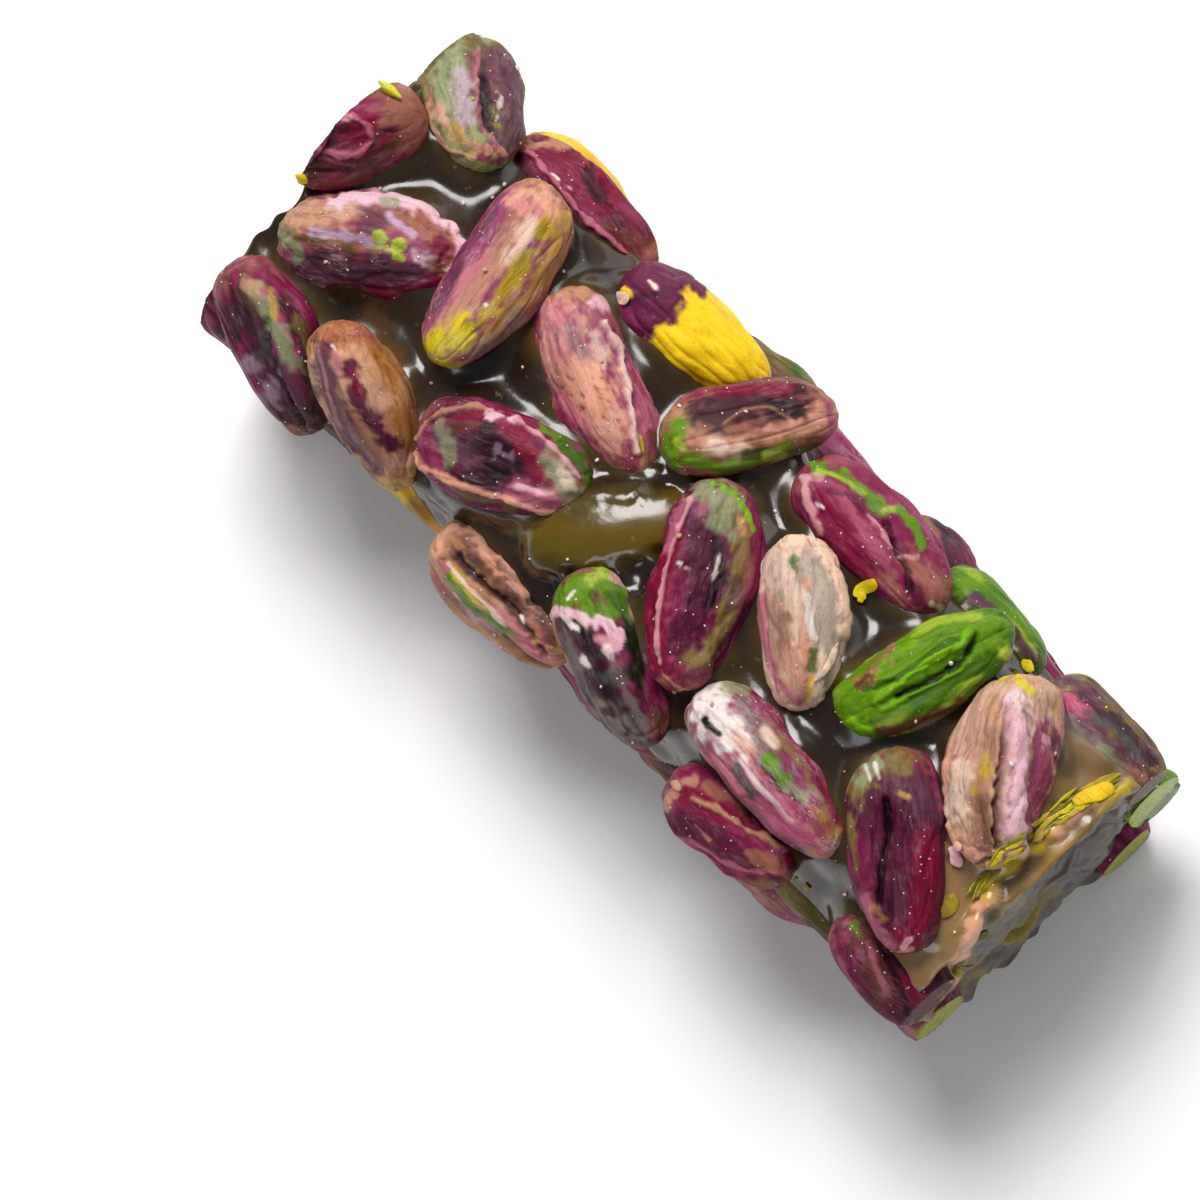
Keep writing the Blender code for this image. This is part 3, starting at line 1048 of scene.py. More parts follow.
    def _shift(self, centre: np.ndarray) -> np.ndarray:
        """How far the settled kernel stands, in the view, from where its strokes were drawn.

        Args:
            centre: Its middle in millimetres.

        Returns:
            Units across and down.
        """
        place, outward = SECTION.seat(self.along, self.around)
        first = np.array(place - outward * self.sink)
        drawn = np.array(self.drawn) if self.drawn else VIEW.project(first[None])[0]
        return VIEW.project(centre[None])[0] - drawn

    def _covers(self, points: np.ndarray, normals: np.ndarray, seen: np.ndarray) -> list[np.ndarray]:
        """How strongly each stroke covers each point.

        Args:
            points: The points in millimetres.
            normals: The directions outwards.
            seen: The points in the view's units, moved to where the strokes were drawn.

        Returns:
            One array a stroke.
        """
        faced = smoothstep(-0.15, 0.2, VIEW.facing(normals))
        seed = self.number * self.SEEDS_EACH + self.EDGE_SEED
        wander = waves(points, 1.5, seed) * 0.7 + waves(points, 0.7, seed + 1) * 0.4
        return [stroke.weight(seen, wander) * faced for stroke in self.strokes]

    def _colours(
        self, lie: np.ndarray, crest: np.ndarray, hollow: np.ndarray, flat: np.ndarray
    ) -> np.ndarray:
        """Paints the skin before its own features, with painted shade in its hollows and creases.

        Args:
            lie: Points from the kernel's middle along its own axes, in millimetres.
            crest: How much each is on a ridge or rim.
            hollow: How much each is in a hollow, which takes painted shade.
            flat: 1 on a sliced face.

        Returns:
            A linear colour a point.
        """
        seed = self.number * self.SEEDS_EACH + self.PAINT_SEED
        finish = self.finish
        s = lie[:, 0] / (self.length / 2)
        drawn = lie * np.array([0.2, 1.0, 1.0])
        colours = np.tile(finish.base.rgb, (len(lie), 1))
        colours = mixed(colours, finish.blotch.rgb, smoothstep(-0.1, 1.0, waves(lie, 7.0, seed)) * 0.75)
        colours = mixed(colours, finish.streak.rgb, smoothstep(0.3, 1.5, waves(drawn, 1.7, seed + 1)) * 0.6)
        ends = smoothstep(0.62, 1.0, np.abs(s) + 0.12 * waves(drawn, 1.6, seed + 2))
        keep = np.where(s > 0, 0.75, 0.45)
        colours = mixed(colours, finish.tip.rgb, ends * keep)
        # Painted shade: hollows and creases are darkened towards the finish's hollow colour
        colours = mixed(colours, finish.hollow.rgb, hollow * 0.45)
        shown = 0.15 if self.strokes else 0.55
        colours = mixed(colours, finish.crest.rgb, smoothstep(0.45, 0.95, crest) * shown)
        return mixed(colours, Tint.LIME.rgb, flat * 0.85)


@dataclass(frozen=True)
class JellyFinish:
    """Dark set starch jelly: glossy, cloudy within, amber where it is thin.

    Attributes:
        slot: The record's material slot; not used.
        roughness: How rough its smoothest surface is.
        ripple: How deep its finest unevenness looks, in millimetres.
    """

    slot: str = "jelly"
    roughness: float = 0.20
    ripple: float = 0.12

    def material(self) -> bpy.types.Material:
        """Makes the jelly's material.

        Returns:
            A Principled material that reads the piece's paint and dull attributes.
        """
        made = bpy.data.materials.new("set jelly")
        made.use_nodes = True
        g = Graph(made.node_tree)
        shader = made.node_tree.nodes["Principled BSDF"]
        paint = g.add("Attribute", attribute_name="paint").outputs["Color"]
        dull = g.add("Attribute", attribute_name="dull").outputs["Fac"]
        place = g.add("TexCoord").outputs["Object"]
        cloud = g.noise(place, 160, 4, 0.6, 0.4)
        speck = g.noise(place, 1400, 2, 0.5)
        colour = g.mix(g.ramp(cloud, 0.38, 0.68, 0.4), paint, g.mix(1.0, paint, (1.6, 1.3, 1.0), "MULTIPLY"))
        colour = g.mix(g.ramp(speck, 0.68, 0.76, 0.2), colour, (0.36, 0.27, 0.16))
        made.node_tree.links.new(colour, shader.inputs["Base Color"])
        rough = g.math("ADD", g.ramp(cloud, 0.35, 0.7, 0.12), self.roughness - 0.04)
        rough = g.math("ADD", rough, g.math("MULTIPLY", dull, 0.22), clamp=True)
        made.node_tree.links.new(rough, shader.inputs["Roughness"])
        fine = g.math("MULTIPLY", g.noise(place, 1500, 2, 0.5), 0.25)
        ripple = g.math("ADD", g.noise(place, 420, 3, 0.5, 0.6), fine)
        bump = g.add("Bump", {"Height": ripple, "Strength": 0.35, "Distance": self.ripple * MM})
        made.node_tree.links.new(bump.outputs["Normal"], shader.inputs["Normal"])
        shader.inputs["Specular IOR Level"].default_value = 0.5
        shader.inputs["Coat Weight"].default_value = 0.15
        shader.inputs["Coat Roughness"].default_value = 0.16
        shader.inputs["Subsurface Weight"].default_value = 0.35
        shader.inputs["Subsurface Radius"].default_value = (1.0, 0.55, 0.25)
        shader.inputs["Subsurface Scale"].default_value = 1.6 * MM
        return made


class Seed(IntEnum):
    """The seeds of the jelly's unevennesses."""

    SLOW_WAVE = 901
    SHORT_WAVE = 902
    CLIMB = 903
    LIP = 904
    STROKE_EDGE = 905
    STROKE_GRAIN = 906
    DRAG = 907
    FINE_DRAG = 908
    SLUMP = 909
    DEPTH = 910
    THINNESS = 911
    NEAR_CUT = 912
    STREAK = 913
    RIM = 914
    FINE_RIM = 915
    MOTTLE = 916
    NUT_BIT = 917


@dataclass
class Jelly:
    """The bar of jelly, millimetres: it dips between the kernels and climbs their sides.

    Attributes:
        sides: Points round the bar.
        stations: Cuts along the bar.
        cap_rings: Rings of faces on each knife-cut end.
        climb: How high it climbs a kernel.
        climb_reach: How far from a kernel it starts to climb.
        level: How far its whole surface stands off the plain section.
        dip: How far it sinks between kernels.
        lump_place: Along, around and turn of the kernel under its lump, in millimetres and degrees.
        lump_size: Half length, half width and height of the lump.
        bed: Along, around, reach and depth of the sag under the deepest kernel, in millimetres and degrees.
        strokes: Features of the side that the view sees.
        evenings: How often its surface is smoothed.
        lip: How high the knife has dragged up the rim of each cut.
        wear: How far the cut's rim wanders behind its plane.
        far: The farthest that a kernel is looked for.
        clearance: How high above the floor it stays.
        dulled: How dull its cut ends are, from 0 to 1.

    A point is on the bar's side where its share of the radius passes ON_SIDE, and else on an end.
    """

    sides: int = 280
    stations: int = 255
    cap_rings: int = 22
    climb: float = 0.85
    climb_reach: float = 0.8
    level: float = -0.40
    dip: float = 0.35
    lump_place: tuple[float, float, float] = (-2.6, 20.0, 58.0)
    lump_size: tuple[float, float, float] = (7.2, 3.4, 1.8)
    bed: tuple[float, float, float, float] = (-32.5, 8.0, 8.6, 0.95)
    finish: JellyFinish = JellyFinish()
    strokes: tuple[Stroke, ...] = ()
    evenings: int = 5
    lip: float = 0.55
    wear: float = 0.55
    far: float = 6.0
    clearance: float = 0.3
    dulled: float = 0.8

    ON_SIDE = 0.999

    def build(self, kernels: list[bpy.types.Object]) -> bpy.types.Object:
        """Makes the jelly round the finished kernels.

        Args:
            kernels: The finished kernels.

        Returns:
            The finished piece, which stands for the jelly's solid.
        """
        piece = self._bar()
        mesh = piece.data
        unit = points_of(mesh)
        angles = np.arctan2(-unit[:, 1], unit[:, 2])
        spread = np.hypot(unit[:, 1], unit[:, 2])
        x = unit[:, 0] / MM
        ring, ways = SECTION.ring(angles)
        outward = np.column_stack((np.zeros(len(x)), ways))
        surface = np.column_stack((x, ring[:, 0] + SECTION.axis_across, ring[:, 1] + SECTION.axis_height))
        gap = self._gap_to_kernels(surface, kernels)
        rise = self._evened(self._rise(surface, angles, gap), x, angles, spread > self.ON_SIDE)
        axis = surface * np.array([1.0, 0.0, 0.0]) + np.array([0.0, SECTION.axis_across, SECTION.axis_height])
        plain = axis + (surface - axis) * spread[:, None]
        points = plain + outward * (rise * spread)[:, None]
        on_cap = spread < self.ON_SIDE
        points[:, 0] -= np.sign(x) * self._drawn_back(plain, x, spread)
        points[:, 2] = np.maximum(points[:, 2], self.clearance)
        put_points(mesh, points * MM)
        normals = normals_of(mesh)
        seen = VIEW.project(points)
        faced = smoothstep(-0.1, 0.15, VIEW.facing(normals))
        wander = waves(points, 1.8, Seed.STROKE_EDGE) * 0.7 + waves(points, 0.8, Seed.STROKE_GRAIN) * 0.4
        colours = self._colours(plain, gap, on_cap)
        for stroke in self.strokes:
            cover = stroke.weight(seen, wander) * faced
            points = points + normals * (cover * stroke.rise)[:, None]
            if stroke.tint:
                colours = mixed(colours, stroke.tint.rgb, cover * stroke.share)
        half = SECTION.half_length
        points[:, 0] = np.clip(points[:, 0], -half, half)
        put_points(mesh, points * MM)
        put_paint(mesh, "paint", colours)
        put_values(mesh, "dull", on_cap * self.dulled)
        mesh.materials.append(self.finish.material())
        mesh.shade_smooth()
        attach(piece, "root")
        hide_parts("jelly")
        return piece

    def _bar(self) -> bpy.types.Object:
        """Makes a closed bar of unit radius, cut finely along, round and over its ends.

        Returns:
            The bar.
        """
        bpy.ops.object.select_all(action="DESELECT")
        length = 2 * SECTION.half_length * MM
        bpy.ops.mesh.primitive_cylinder_add(
            vertices=self.sides, radius=1, depth=length, end_fill_type="NGON", rotation=(0, math.pi / 2, 0)
        )
        piece = bpy.context.active_object
        piece.name = piece.data.name = "set_jelly"
        bpy.ops.object.transform_apply(location=True, rotation=True, scale=True)
        bpy.ops.object.mode_set(mode="EDIT")
        bpy.ops.mesh.select_mode(type="FACE")
        for way in (1, -1):
            self._ring_the_cap(piece, way, length)
        self._cut_along(piece, length)
        bpy.ops.object.mode_set(mode="OBJECT")
        return piece

    def _ring_the_cap(self, piece: bpy.types.Object, way: int, length: float) -> None:
        """Draws an end face in ring by ring, so that it can carry knife marks.

        Args:
            piece: The bar, in edit mode.
            way: 1 for the near end and -1 for the far one.
            length: The bar's length in metres.
        """
        bpy.ops.mesh.select_all(action="DESELECT")
        bpy.ops.object.mode_set(mode="OBJECT")
        for face in piece.data.polygons:
            face.select = len(face.vertices) > 4 and face.center.x * way > 0
        bpy.ops.object.mode_set(mode="EDIT")
        place = (way * length / 2, 0, 0)
        for ring in range(self.cap_rings):
            left = self.cap_rings - ring
            factor = (left - 0.5) / left if ring else 1 - 0.5 / self.cap_rings
            bpy.ops.mesh.extrude_region_move()
            bpy.ops.transform.resize(value=(1, factor, factor), center_override=place)
        bpy.ops.mesh.poke()

    def _cut_along(self, piece: bpy.types.Object, length: float) -> None:
        """Cuts the bar across its length into short stations.

        Args:
            piece: The bar, in edit mode.
            length: Its length in metres.
        """
        bpy.ops.mesh.select_mode(type="EDGE")
        bpy.ops.mesh.select_all(action="DESELECT")
        bpy.ops.object.mode_set(mode="OBJECT")
        points = points_of(piece.data)
        for edge in piece.data.edges:
            first, second = edge.vertices
            edge.select = abs(points[first, 0] - points[second, 0]) > length * 0.9
        bpy.ops.object.mode_set(mode="EDIT")
        cuts = int(math.sqrt(self.stations + 1)) - 1
        bpy.ops.mesh.subdivide(number_cuts=cuts)
        bpy.ops.mesh.select_all(action="DESELECT")
        bpy.ops.object.mode_set(mode="OBJECT")
        points = points_of(piece.data)
        for edge in piece.data.edges:
            first, second = edge.vertices
            edge.select = abs(points[first, 0] - points[second, 0]) > length * 0.01
        bpy.ops.object.mode_set(mode="EDIT")
        bpy.ops.mesh.subdivide(number_cuts=cuts)

    def _gap_to_kernels(self, surface: np.ndarray, kernels: list[bpy.types.Object]) -> np.ndarray:
        """How far each place on the plain surface is from the nearest kernel.

        Args:
            surface: The places in millimetres.
            kernels: The finished kernels.

        Returns:
            Millimetres, 0 inside a kernel.
        """
        tree = tree_of(kernels)
        gaps = np.zeros(len(surface))
        for number, place in enumerate(surface.tolist()):
            found, normal, _, distance = tree.find_nearest(place, self.far)
            if found is None:
                gaps[number] = self.far
            elif (Vector(place) - found).dot(normal) > 0:
                gaps[number] = distance
        return gaps

    def _rise(self, surface: np.ndarray, angles: np.ndarray, gap: np.ndarray) -> np.ndarray:
        """How far the jelly's surface stands off its plain section.

        Args:
            surface: The places in millimetres.
            angles: Round the bar in radians.
            gap: Millimetres to the nearest kernel.

        Returns:
            Millimetres outwards.
        """
        wave = SECTION.wave_height * np.sin(surface[:, 0] / SECTION.wave_length + 2 * angles)
        slow = 0.22 * waves(surface, 11.0, Seed.SLOW_WAVE) + 0.10 * waves(surface, 4.5, Seed.SHORT_WAVE)
        height = self.climb * (1 + 0.3 * waves(surface, 6.0, Seed.CLIMB).clip(-1.5, 1.5))
        climb = height * np.exp(-gap / self.climb_reach)
        sink = -self.dip * smoothstep(0.6, 3.2, gap)
        rise = wave + slow + climb + sink + self.level - self._sag(surface)
        lump = self._lump(surface)
        inward = smoothstep(SECTION.half_length, SECTION.half_length - 1.2, np.abs(surface[:, 0]))
        lip = self.lip * np.exp(-(((np.abs(surface[:, 0]) - SECTION.half_length + 0.7) / 0.55) ** 2))
        lip = lip * smoothstep(-0.9, 0.9, waves(surface, 4.0, Seed.LIP))
        return np.logaddexp(rise / 0.35, lump / 0.35) * 0.35 * (0.4 + 0.6 * inward) + lip

    def _sag(self, surface: np.ndarray) -> np.ndarray:
        """How far the jelly has sagged under the kernel that lies deepest in it.

        Args:
            surface: The places in millimetres.

        Returns:
            Millimetres inwards.
        """
        along, around, reach, depth = self.bed
        place, _ = SECTION.seat(along, around)
        off = np.linalg.norm(surface - np.array(place), axis=1)
        return depth * smoothstep(reach * 1.35, reach * 0.7, off)

    def _evened(self, rise: np.ndarray, x: np.ndarray, angles: np.ndarray, side: np.ndarray) -> np.ndarray:
        """Smooths the surface, so that the climbs of two kernels meet in a soft saddle.

        Args:
            rise: How far each point stands off the plain section, in millimetres.
            x: Millimetres along the bar.
            angles: Round the bar in radians.
            side: Whether each point is on the bar's side and not on an end.

        Returns:
            The smoothed rise, which over the ends follows their rims.
        """
        turns = np.mod(angles + 0.001, 2 * math.pi)
        index = np.flatnonzero(side)
        rows = index[np.argsort(x[index])].reshape(-1, self.sides)
        order = np.take_along_axis(rows, np.argsort(turns[rows], axis=1), axis=1)
        grid = rise[order]
        for _ in range(self.evenings):
            grid = (np.roll(grid, 1, 1) + 2 * grid + np.roll(grid, -1, 1)) / 4
            padded = np.vstack((grid[:1], grid, grid[-1:]))
            grid = (padded[:-2] + 2 * grid + padded[2:]) / 4
        evened = rise.copy()
        evened[order] = grid
        for way, row in ((-1, 0), (1, -1)):
            cap = ~side & (x * way > 0)
            evened[cap] = np.interp(turns[cap], turns[order[row]], grid[row], period=2 * math.pi)
        return evened

    def _lump(self, surface: np.ndarray) -> np.ndarray:
        """The height of the lump where the jelly has run right over a kernel.

        Args:
            surface: The places in millimetres.

        Returns:
            Millimetres outwards, and below 0 off the lump.
        """
        along, around, turn = self.lump_place
        place, outward = SECTION.seat(along, around)
        sideways = outward.cross(Vector((1, 0, 0)))
        angle = math.radians(turn)
        lengthwise = Vector((1, 0, 0)) * math.cos(angle) + sideways * math.sin(angle)
        across = outward.cross(lengthwise)
        off = surface - np.array(place)
        half_length, half_width, height = self.lump_size
        reach = (off @ np.array(lengthwise) / half_length) ** 2 + (off @ np.array(across) / half_width) ** 2
        inside = height * np.sqrt(np.clip(1 - reach, 0, 1))
        return np.where(reach < 1, inside, -6 * np.sqrt(np.abs(reach - 1)))

    def _drawn_back(self, points: np.ndarray, x: np.ndarray, spread: np.ndarray) -> np.ndarray:
        """How far the knife's drag marks, the slumped middle and the rim lie behind an end's plane.

        Args:
            points: The points in millimetres.
            x: Millimetres along the bar.
            spread: From 0 at the bar's axis to 1 on its side.

        Returns:
            Millimetres towards the bar's middle.
        """
        drag = points @ np.array([0.0, 0.62, 0.78])
        lines = 0.10 * np.sin(drag * 4.2 + 1.6 * waves(points, 6.0, Seed.DRAG))
        lines = lines + 0.07 * waves(points, 1.4, Seed.FINE_DRAG)
        slump = np.clip(0.35 + 0.2 * waves(points, 9.0, Seed.SLUMP) + lines, 0, 1.2)
        slump = slump * smoothstep(1.0, 0.88, spread)
        around = points * np.array([0.0, 1.0, 1.0])
        wander = 0.6 + 0.7 * waves(around, 7.0, Seed.RIM) + 0.35 * waves(around, 2.2, Seed.FINE_RIM)
        rim = self.wear * np.clip(wander, 0, 2.2)
        near = smoothstep(SECTION.half_length - 3.5, SECTION.half_length, np.abs(x))
        return slump * (spread < self.ON_SIDE) + rim * near

    def _colours(self, points: np.ndarray, gap: np.ndarray, on_cap: np.ndarray) -> np.ndarray:
        """Paints the jelly: darkest where it is deep, amber where it is thin over a kernel.

        Args:
            points: The points in millimetres.
            gap: Millimetres to the nearest kernel.
            on_cap: Whether each is on a knife-cut end.

        Returns:
            A linear colour a point.
        """
        colours = np.tile(Tint.JELLY.rgb, (len(points), 1))
        deep = smoothstep(-0.6, 0.9, waves(points, 9.0, Seed.DEPTH))
        colours = mixed(colours, Tint.JELLY_DEEP.rgb, deep * 0.7)
        thin = np.exp(-gap / 0.7) * smoothstep(-1.2, 1.2, waves(points, 7.0, Seed.THINNESS))
        colours = mixed(colours, Tint.JELLY_OLIVE.rgb, thin * 0.42)
        reach = self._lump(points)
        colours = mixed(colours, Tint.JELLY_OLIVE.rgb, smoothstep(-0.5, 1.6, reach) * 0.6)
        near_cut = smoothstep(30, 39, points[:, 0] + 1.5 * waves(points, 6.0, Seed.NEAR_CUT))
        mottle = 0.55 + 0.45 * smoothstep(-0.8, 0.9, waves(points, 3.2, Seed.MOTTLE))
        colours = mixed(colours, Tint.JELLY_PALE.rgb, near_cut * 0.7 * mottle)
        # The lip along the near cut's rim is paler: partly the thin jelly's own colour, partly a painted
        # highlight on the rim
        edge = smoothstep(SECTION.half_length - 1.1, SECTION.half_length - 0.2, points[:, 0])
        colours = mixed(colours, Tint.STRAW.rgb, edge * 0.35 * mottle)
        streaks = smoothstep(-0.5, 1.3, waves(points * np.array([1, 0.4, 1.0]), 3.0, Seed.STREAK))
        cut = mixed(np.tile(Tint.CUT.rgb, (len(points), 1)), Tint.JELLY.rgb, streaks * 0.8)
        bits = smoothstep(1.15, 1.5, waves(points * np.array([1, 0.6, 1.0]), 4.2, Seed.NUT_BIT))
        cut = mixed(cut, Tint.OLIVE.rgb, bits * 0.9)
        return np.where(on_cap[:, None], cut, colours)


@dataclass
class Studio:
    """The plain floor, the soft lights and the camera.

    Attributes:
        floor_size: The length of the floor's side in metres.
        aim: What the lights point at, in metres.
        daylight: How strong the light from all round is.
    """

    floor_size: float = 3.0
    aim: tuple[float, float, float] = (0.0, 0.0, 0.012)
    daylight: float = 0.18

    def build(self) -> None:
        """Adds the floor, the lights and the camera."""
        self._floor()
        self._light("key", (-0.30, 0.26, 0.62), 0.38, 6.6, (1.0, 0.985, 0.96))
        self._light("fill", (0.35, -0.50, 0.45), 0.35, 1.2, (0.93, 0.96, 1.0))
        self._light("rim", (-0.10, 0.60, 0.22), 0.35, 0.7, (0.95, 0.97, 1.0))
        world = bpy.data.worlds.new("studio")
        world.use_nodes = True
        background = world.node_tree.nodes["Background"]
        background.inputs["Color"].default_value = (0.93, 0.96, 1.0, 1.0)
        background.inputs["Strength"].default_value = self.daylight
        bpy.context.scene.world = world
        bpy.context.scene.view_settings.view_transform = "Standard"
        VIEW.add_camera()

    def _floor(self) -> None:
        """Adds a plain pale floor for the bar to rest on."""
        bpy.ops.object.select_all(action="DESELECT")
        bpy.ops.mesh.primitive_plane_add(size=self.floor_size, location=(0, 0, 0))
        floor = bpy.context.active_object
        floor.name = "floor"
        made = bpy.data.materials.new("floor")
        made.use_nodes = True
        g = Graph(made.node_tree)
        shader = made.node_tree.nodes["Principled BSDF"]
        place = g.add("TexCoord").outputs["Object"]
        colour = g.mix(g.noise(place, 30, 2), (0.93, 0.93, 0.93), (0.96, 0.96, 0.96))
        made.node_tree.links.new(colour, shader.inputs["Base Color"])
        shader.inputs["Roughness"].default_value = 0.9
        shader.inputs["Specular IOR Level"].default_value = 0.1
        floor.data.materials.append(made)

    def _light(
        self,
        name: str,
        place: tuple[float, float, float],
        size: float,
        power: float,
        colour: tuple[float, float, float],
    ) -> None:
        """Adds a square soft light that points at the bar.

        Args:
            name: The light's name.
            place: Where it stands, in metres.
            size: The length of its side in metres.
            power: Its power in watts.
            colour: Its linear colour.
        """
        data = bpy.data.lights.new(name, "AREA")
        data.size = size
        data.energy = power
        data.color = colour
        light = bpy.data.objects.new(name, data)
        light.location = place
        way = Vector(self.aim) - Vector(place)
        light.rotation_euler = way.to_track_quat("-Z", "Y").to_euler()
        bpy.context.scene.collection.objects.link(light)


@dataclass(frozen=True)
class Laid:
    """Where a kernel lies, and what it is like.

    Attributes:
        along: Millimetres along the bar from its middle.
        around: Degrees round the bar from its top.
        turn: Degrees from the bar's length to the kernel's, in the surface.
        length: Millimetres from tip to tip.
        width: Millimetres across.
        form: What its outward side is like.
        finish: Its sort of skin or flesh.
        drawn: Where its middle stood in the view as its strokes were drawn, if not at its first place.
    """

    along: float
    around: float
    turn: float
    length: float
    width: float
    form: Form
    finish: SkinFinish
    drawn: tuple[float, ...] = ()


# The kernels that were laid one by one, in the order of their nodes
LAID = (
    Laid(-36.9, -25, 62, 11.8, 8.4, Form.RIDGE, PLUM_SKIN, (368, 145)),
    Laid(-36.4, -56, -42, 13.5, 8.0, Form.GROOVE, OLIVE_SKIN, (460, 108)),
    Laid(-38.5, -95, 50, 12.5, 7.0, Form.SMOOTH, OLIVE_SKIN),
    Laid(-33.6, 8, 35, 15.8, 9.0, Form.RIDGE, ROSE_SKIN, (356, 239)),
    Laid(-34.6, 51, -28, 15.0, 7.6, Form.GROOVE, PLUM_SKIN),
    Laid(-39.6, 71, -62, 12.5, 6.2, Form.SMOOTH, PLUM_SKIN),
    Laid(-34.0, 116, -10, 12.5, 6.4, Form.SMOOTH, ROSE_SKIN),
    Laid(-24.7, -64, 4, 15.2, 6.4, Form.RIDGE, PLUM_SKIN, (575, 215)),
    Laid(-24.6, -96, 3, 14.0, 7.8, Form.SMOOTH, YELLOW_FLESH, (602, 205)),
    Laid(-24.3, -22, -77, 17.0, 7.4, Form.SMOOTH, ROSE_SKIN, (490, 284)),
    Laid(-24.4, 55, -35, 14.6, 7.4, Form.DISH, TAN_SKIN, (360, 405)),
    Laid(-26.5, 96, -25, 13.0, 6.6, Form.SMOOTH, OLIVE_SKIN),
    Laid(-19.0, 88, -8, 13.5, 6.8, Form.DISH, YELLOW_FLESH),
    Laid(-14.5, 28, 25, 15.0, 7.8, Form.DISH, PLUM_SKIN, (490, 445)),
    Laid(-11.4, -24, -18, 17.2, 8.3, Form.RIDGE, ROSE_SKIN, (599, 387)),
    Laid(-9.3, -55, 13, 14.0, 7.0, Form.SMOOTH, YELLOW_FLESH, (702, 337)),
    Laid(-15.0, -88, -20, 13.0, 7.6, Form.RIDGE, ROSE_SKIN),
    Laid(-6.5, -98, 42, 12.5, 6.4, Form.SMOOTH, OLIVE_SKIN),
    Laid(0.0, -42, 64, 14.6, 7.0, Form.DISH, PLUM_SKIN, (754, 432)),
    Laid(-5.0, 65, 3, 14.8, 7.6, Form.GROOVE, TAN_SKIN, (505, 596)),
    Laid(5.0, 46, -27, 15.2, 7.2, Form.RIDGE, PLUM_SKIN, (623, 650)),
    Laid(3.8, 88, 9, 16.5, 7.0, Form.SMOOTH, ROSE_SKIN, (590, 700)),
    Laid(5.7, 1, -59, 16.8, 8.0, Form.DISH, PLUM_SKIN, (711, 577)),
    Laid(13.4, -5, -43, 13.6, 6.8, Form.RIDGE, TAN_SKIN, (792, 630)),
    Laid(13.2, -46, 0, 15.8, 7.4, Form.GROOVE, PLUM_SKIN, (872, 548)),
    Laid(3.8, -92, -5, 13.0, 6.4, Form.SMOOTH, ROSE_SKIN),
    Laid(15.0, -100, -14, 12.5, 6.6, Form.RIDGE, PLUM_SKIN),
    Laid(21.8, -70, 5, 11.0, 6.4, Form.SMOOTH, GREEN_FLESH, (992, 617)),
    Laid(24.3, -24, 74, 15.3, 6.8, Form.WRINKLE, GREEN_FLESH, (912, 688)),
    Laid(19.1, 31, -3, 16.8, 7.2, Form.RIDGE, ROSE_SKIN, (769, 757)),
    Laid(20.6, 68, 11, 13.0, 6.6, Form.RIDGE, PLUM_SKIN, (733, 826)),
    Laid(22.5, 108, -20, 13.5, 6.8, Form.SMOOTH, ROSE_SKIN),
    Laid(27.5, 88, -12, 13.2, 6.8, Form.DISH, OLIVE_SKIN),
    Laid(35.6, 76, -10, 12.0, 7.4, Form.GROOVE, PLUM_SKIN, (872, 979)),
    Laid(29.7, 22, -41, 15.8, 7.6, Form.GROOVE, PLUM_SKIN, (893, 838)),
    Laid(30.8, -34, -57, 15.6, 8.4, Form.RIDGE, TAN_SKIN, (1000, 757)),
    Laid(34.0, -62, -4, 12.6, 6.8, Form.SMOOTH, OLIVE_SKIN, (1096, 729)),
    Laid(40.0, -100, 80, 10.0, 5.8, Form.SMOOTH, GREEN_FLESH),
    Laid(-9.0, 112, -8, 14.0, 6.8, Form.SMOOTH, PLUM_SKIN),
    Laid(12.5, 118, 18, 13.5, 6.8, Form.DISH, OLIVE_SKIN),
    Laid(36.5, 114, 24, 13.0, 6.6, Form.SMOOTH, ROSE_SKIN),
    Laid(26.5, -110, 4, 11.5, 6.2, Form.DISH, PLUM_SKIN),
)


@dataclass(frozen=True)
class Scrap:
    """A thin loose bit that clings to the bar.

    Attributes:
        path: Across and down of each corner of its middle line, in the view's units.
        wide: Half of its width in the middle, in millimetres.
        tint: Its colour.
        tip: Its colour at its ends.
        thick: Its thickness in millimetres.
        lift: How far its middle stands off what it lies on, in millimetres.
        finish: Its sort of skin or flesh.
        taper: How much narrower its ends are, from 0 to 1.
    """

    path: tuple[float, ...]
    wide: float
    tint: Tint
    tip: Tint
    thick: float = 0.3
    lift: float = 0.15
    finish: SkinFinish = GREEN_FLESH
    taper: float = 0.7


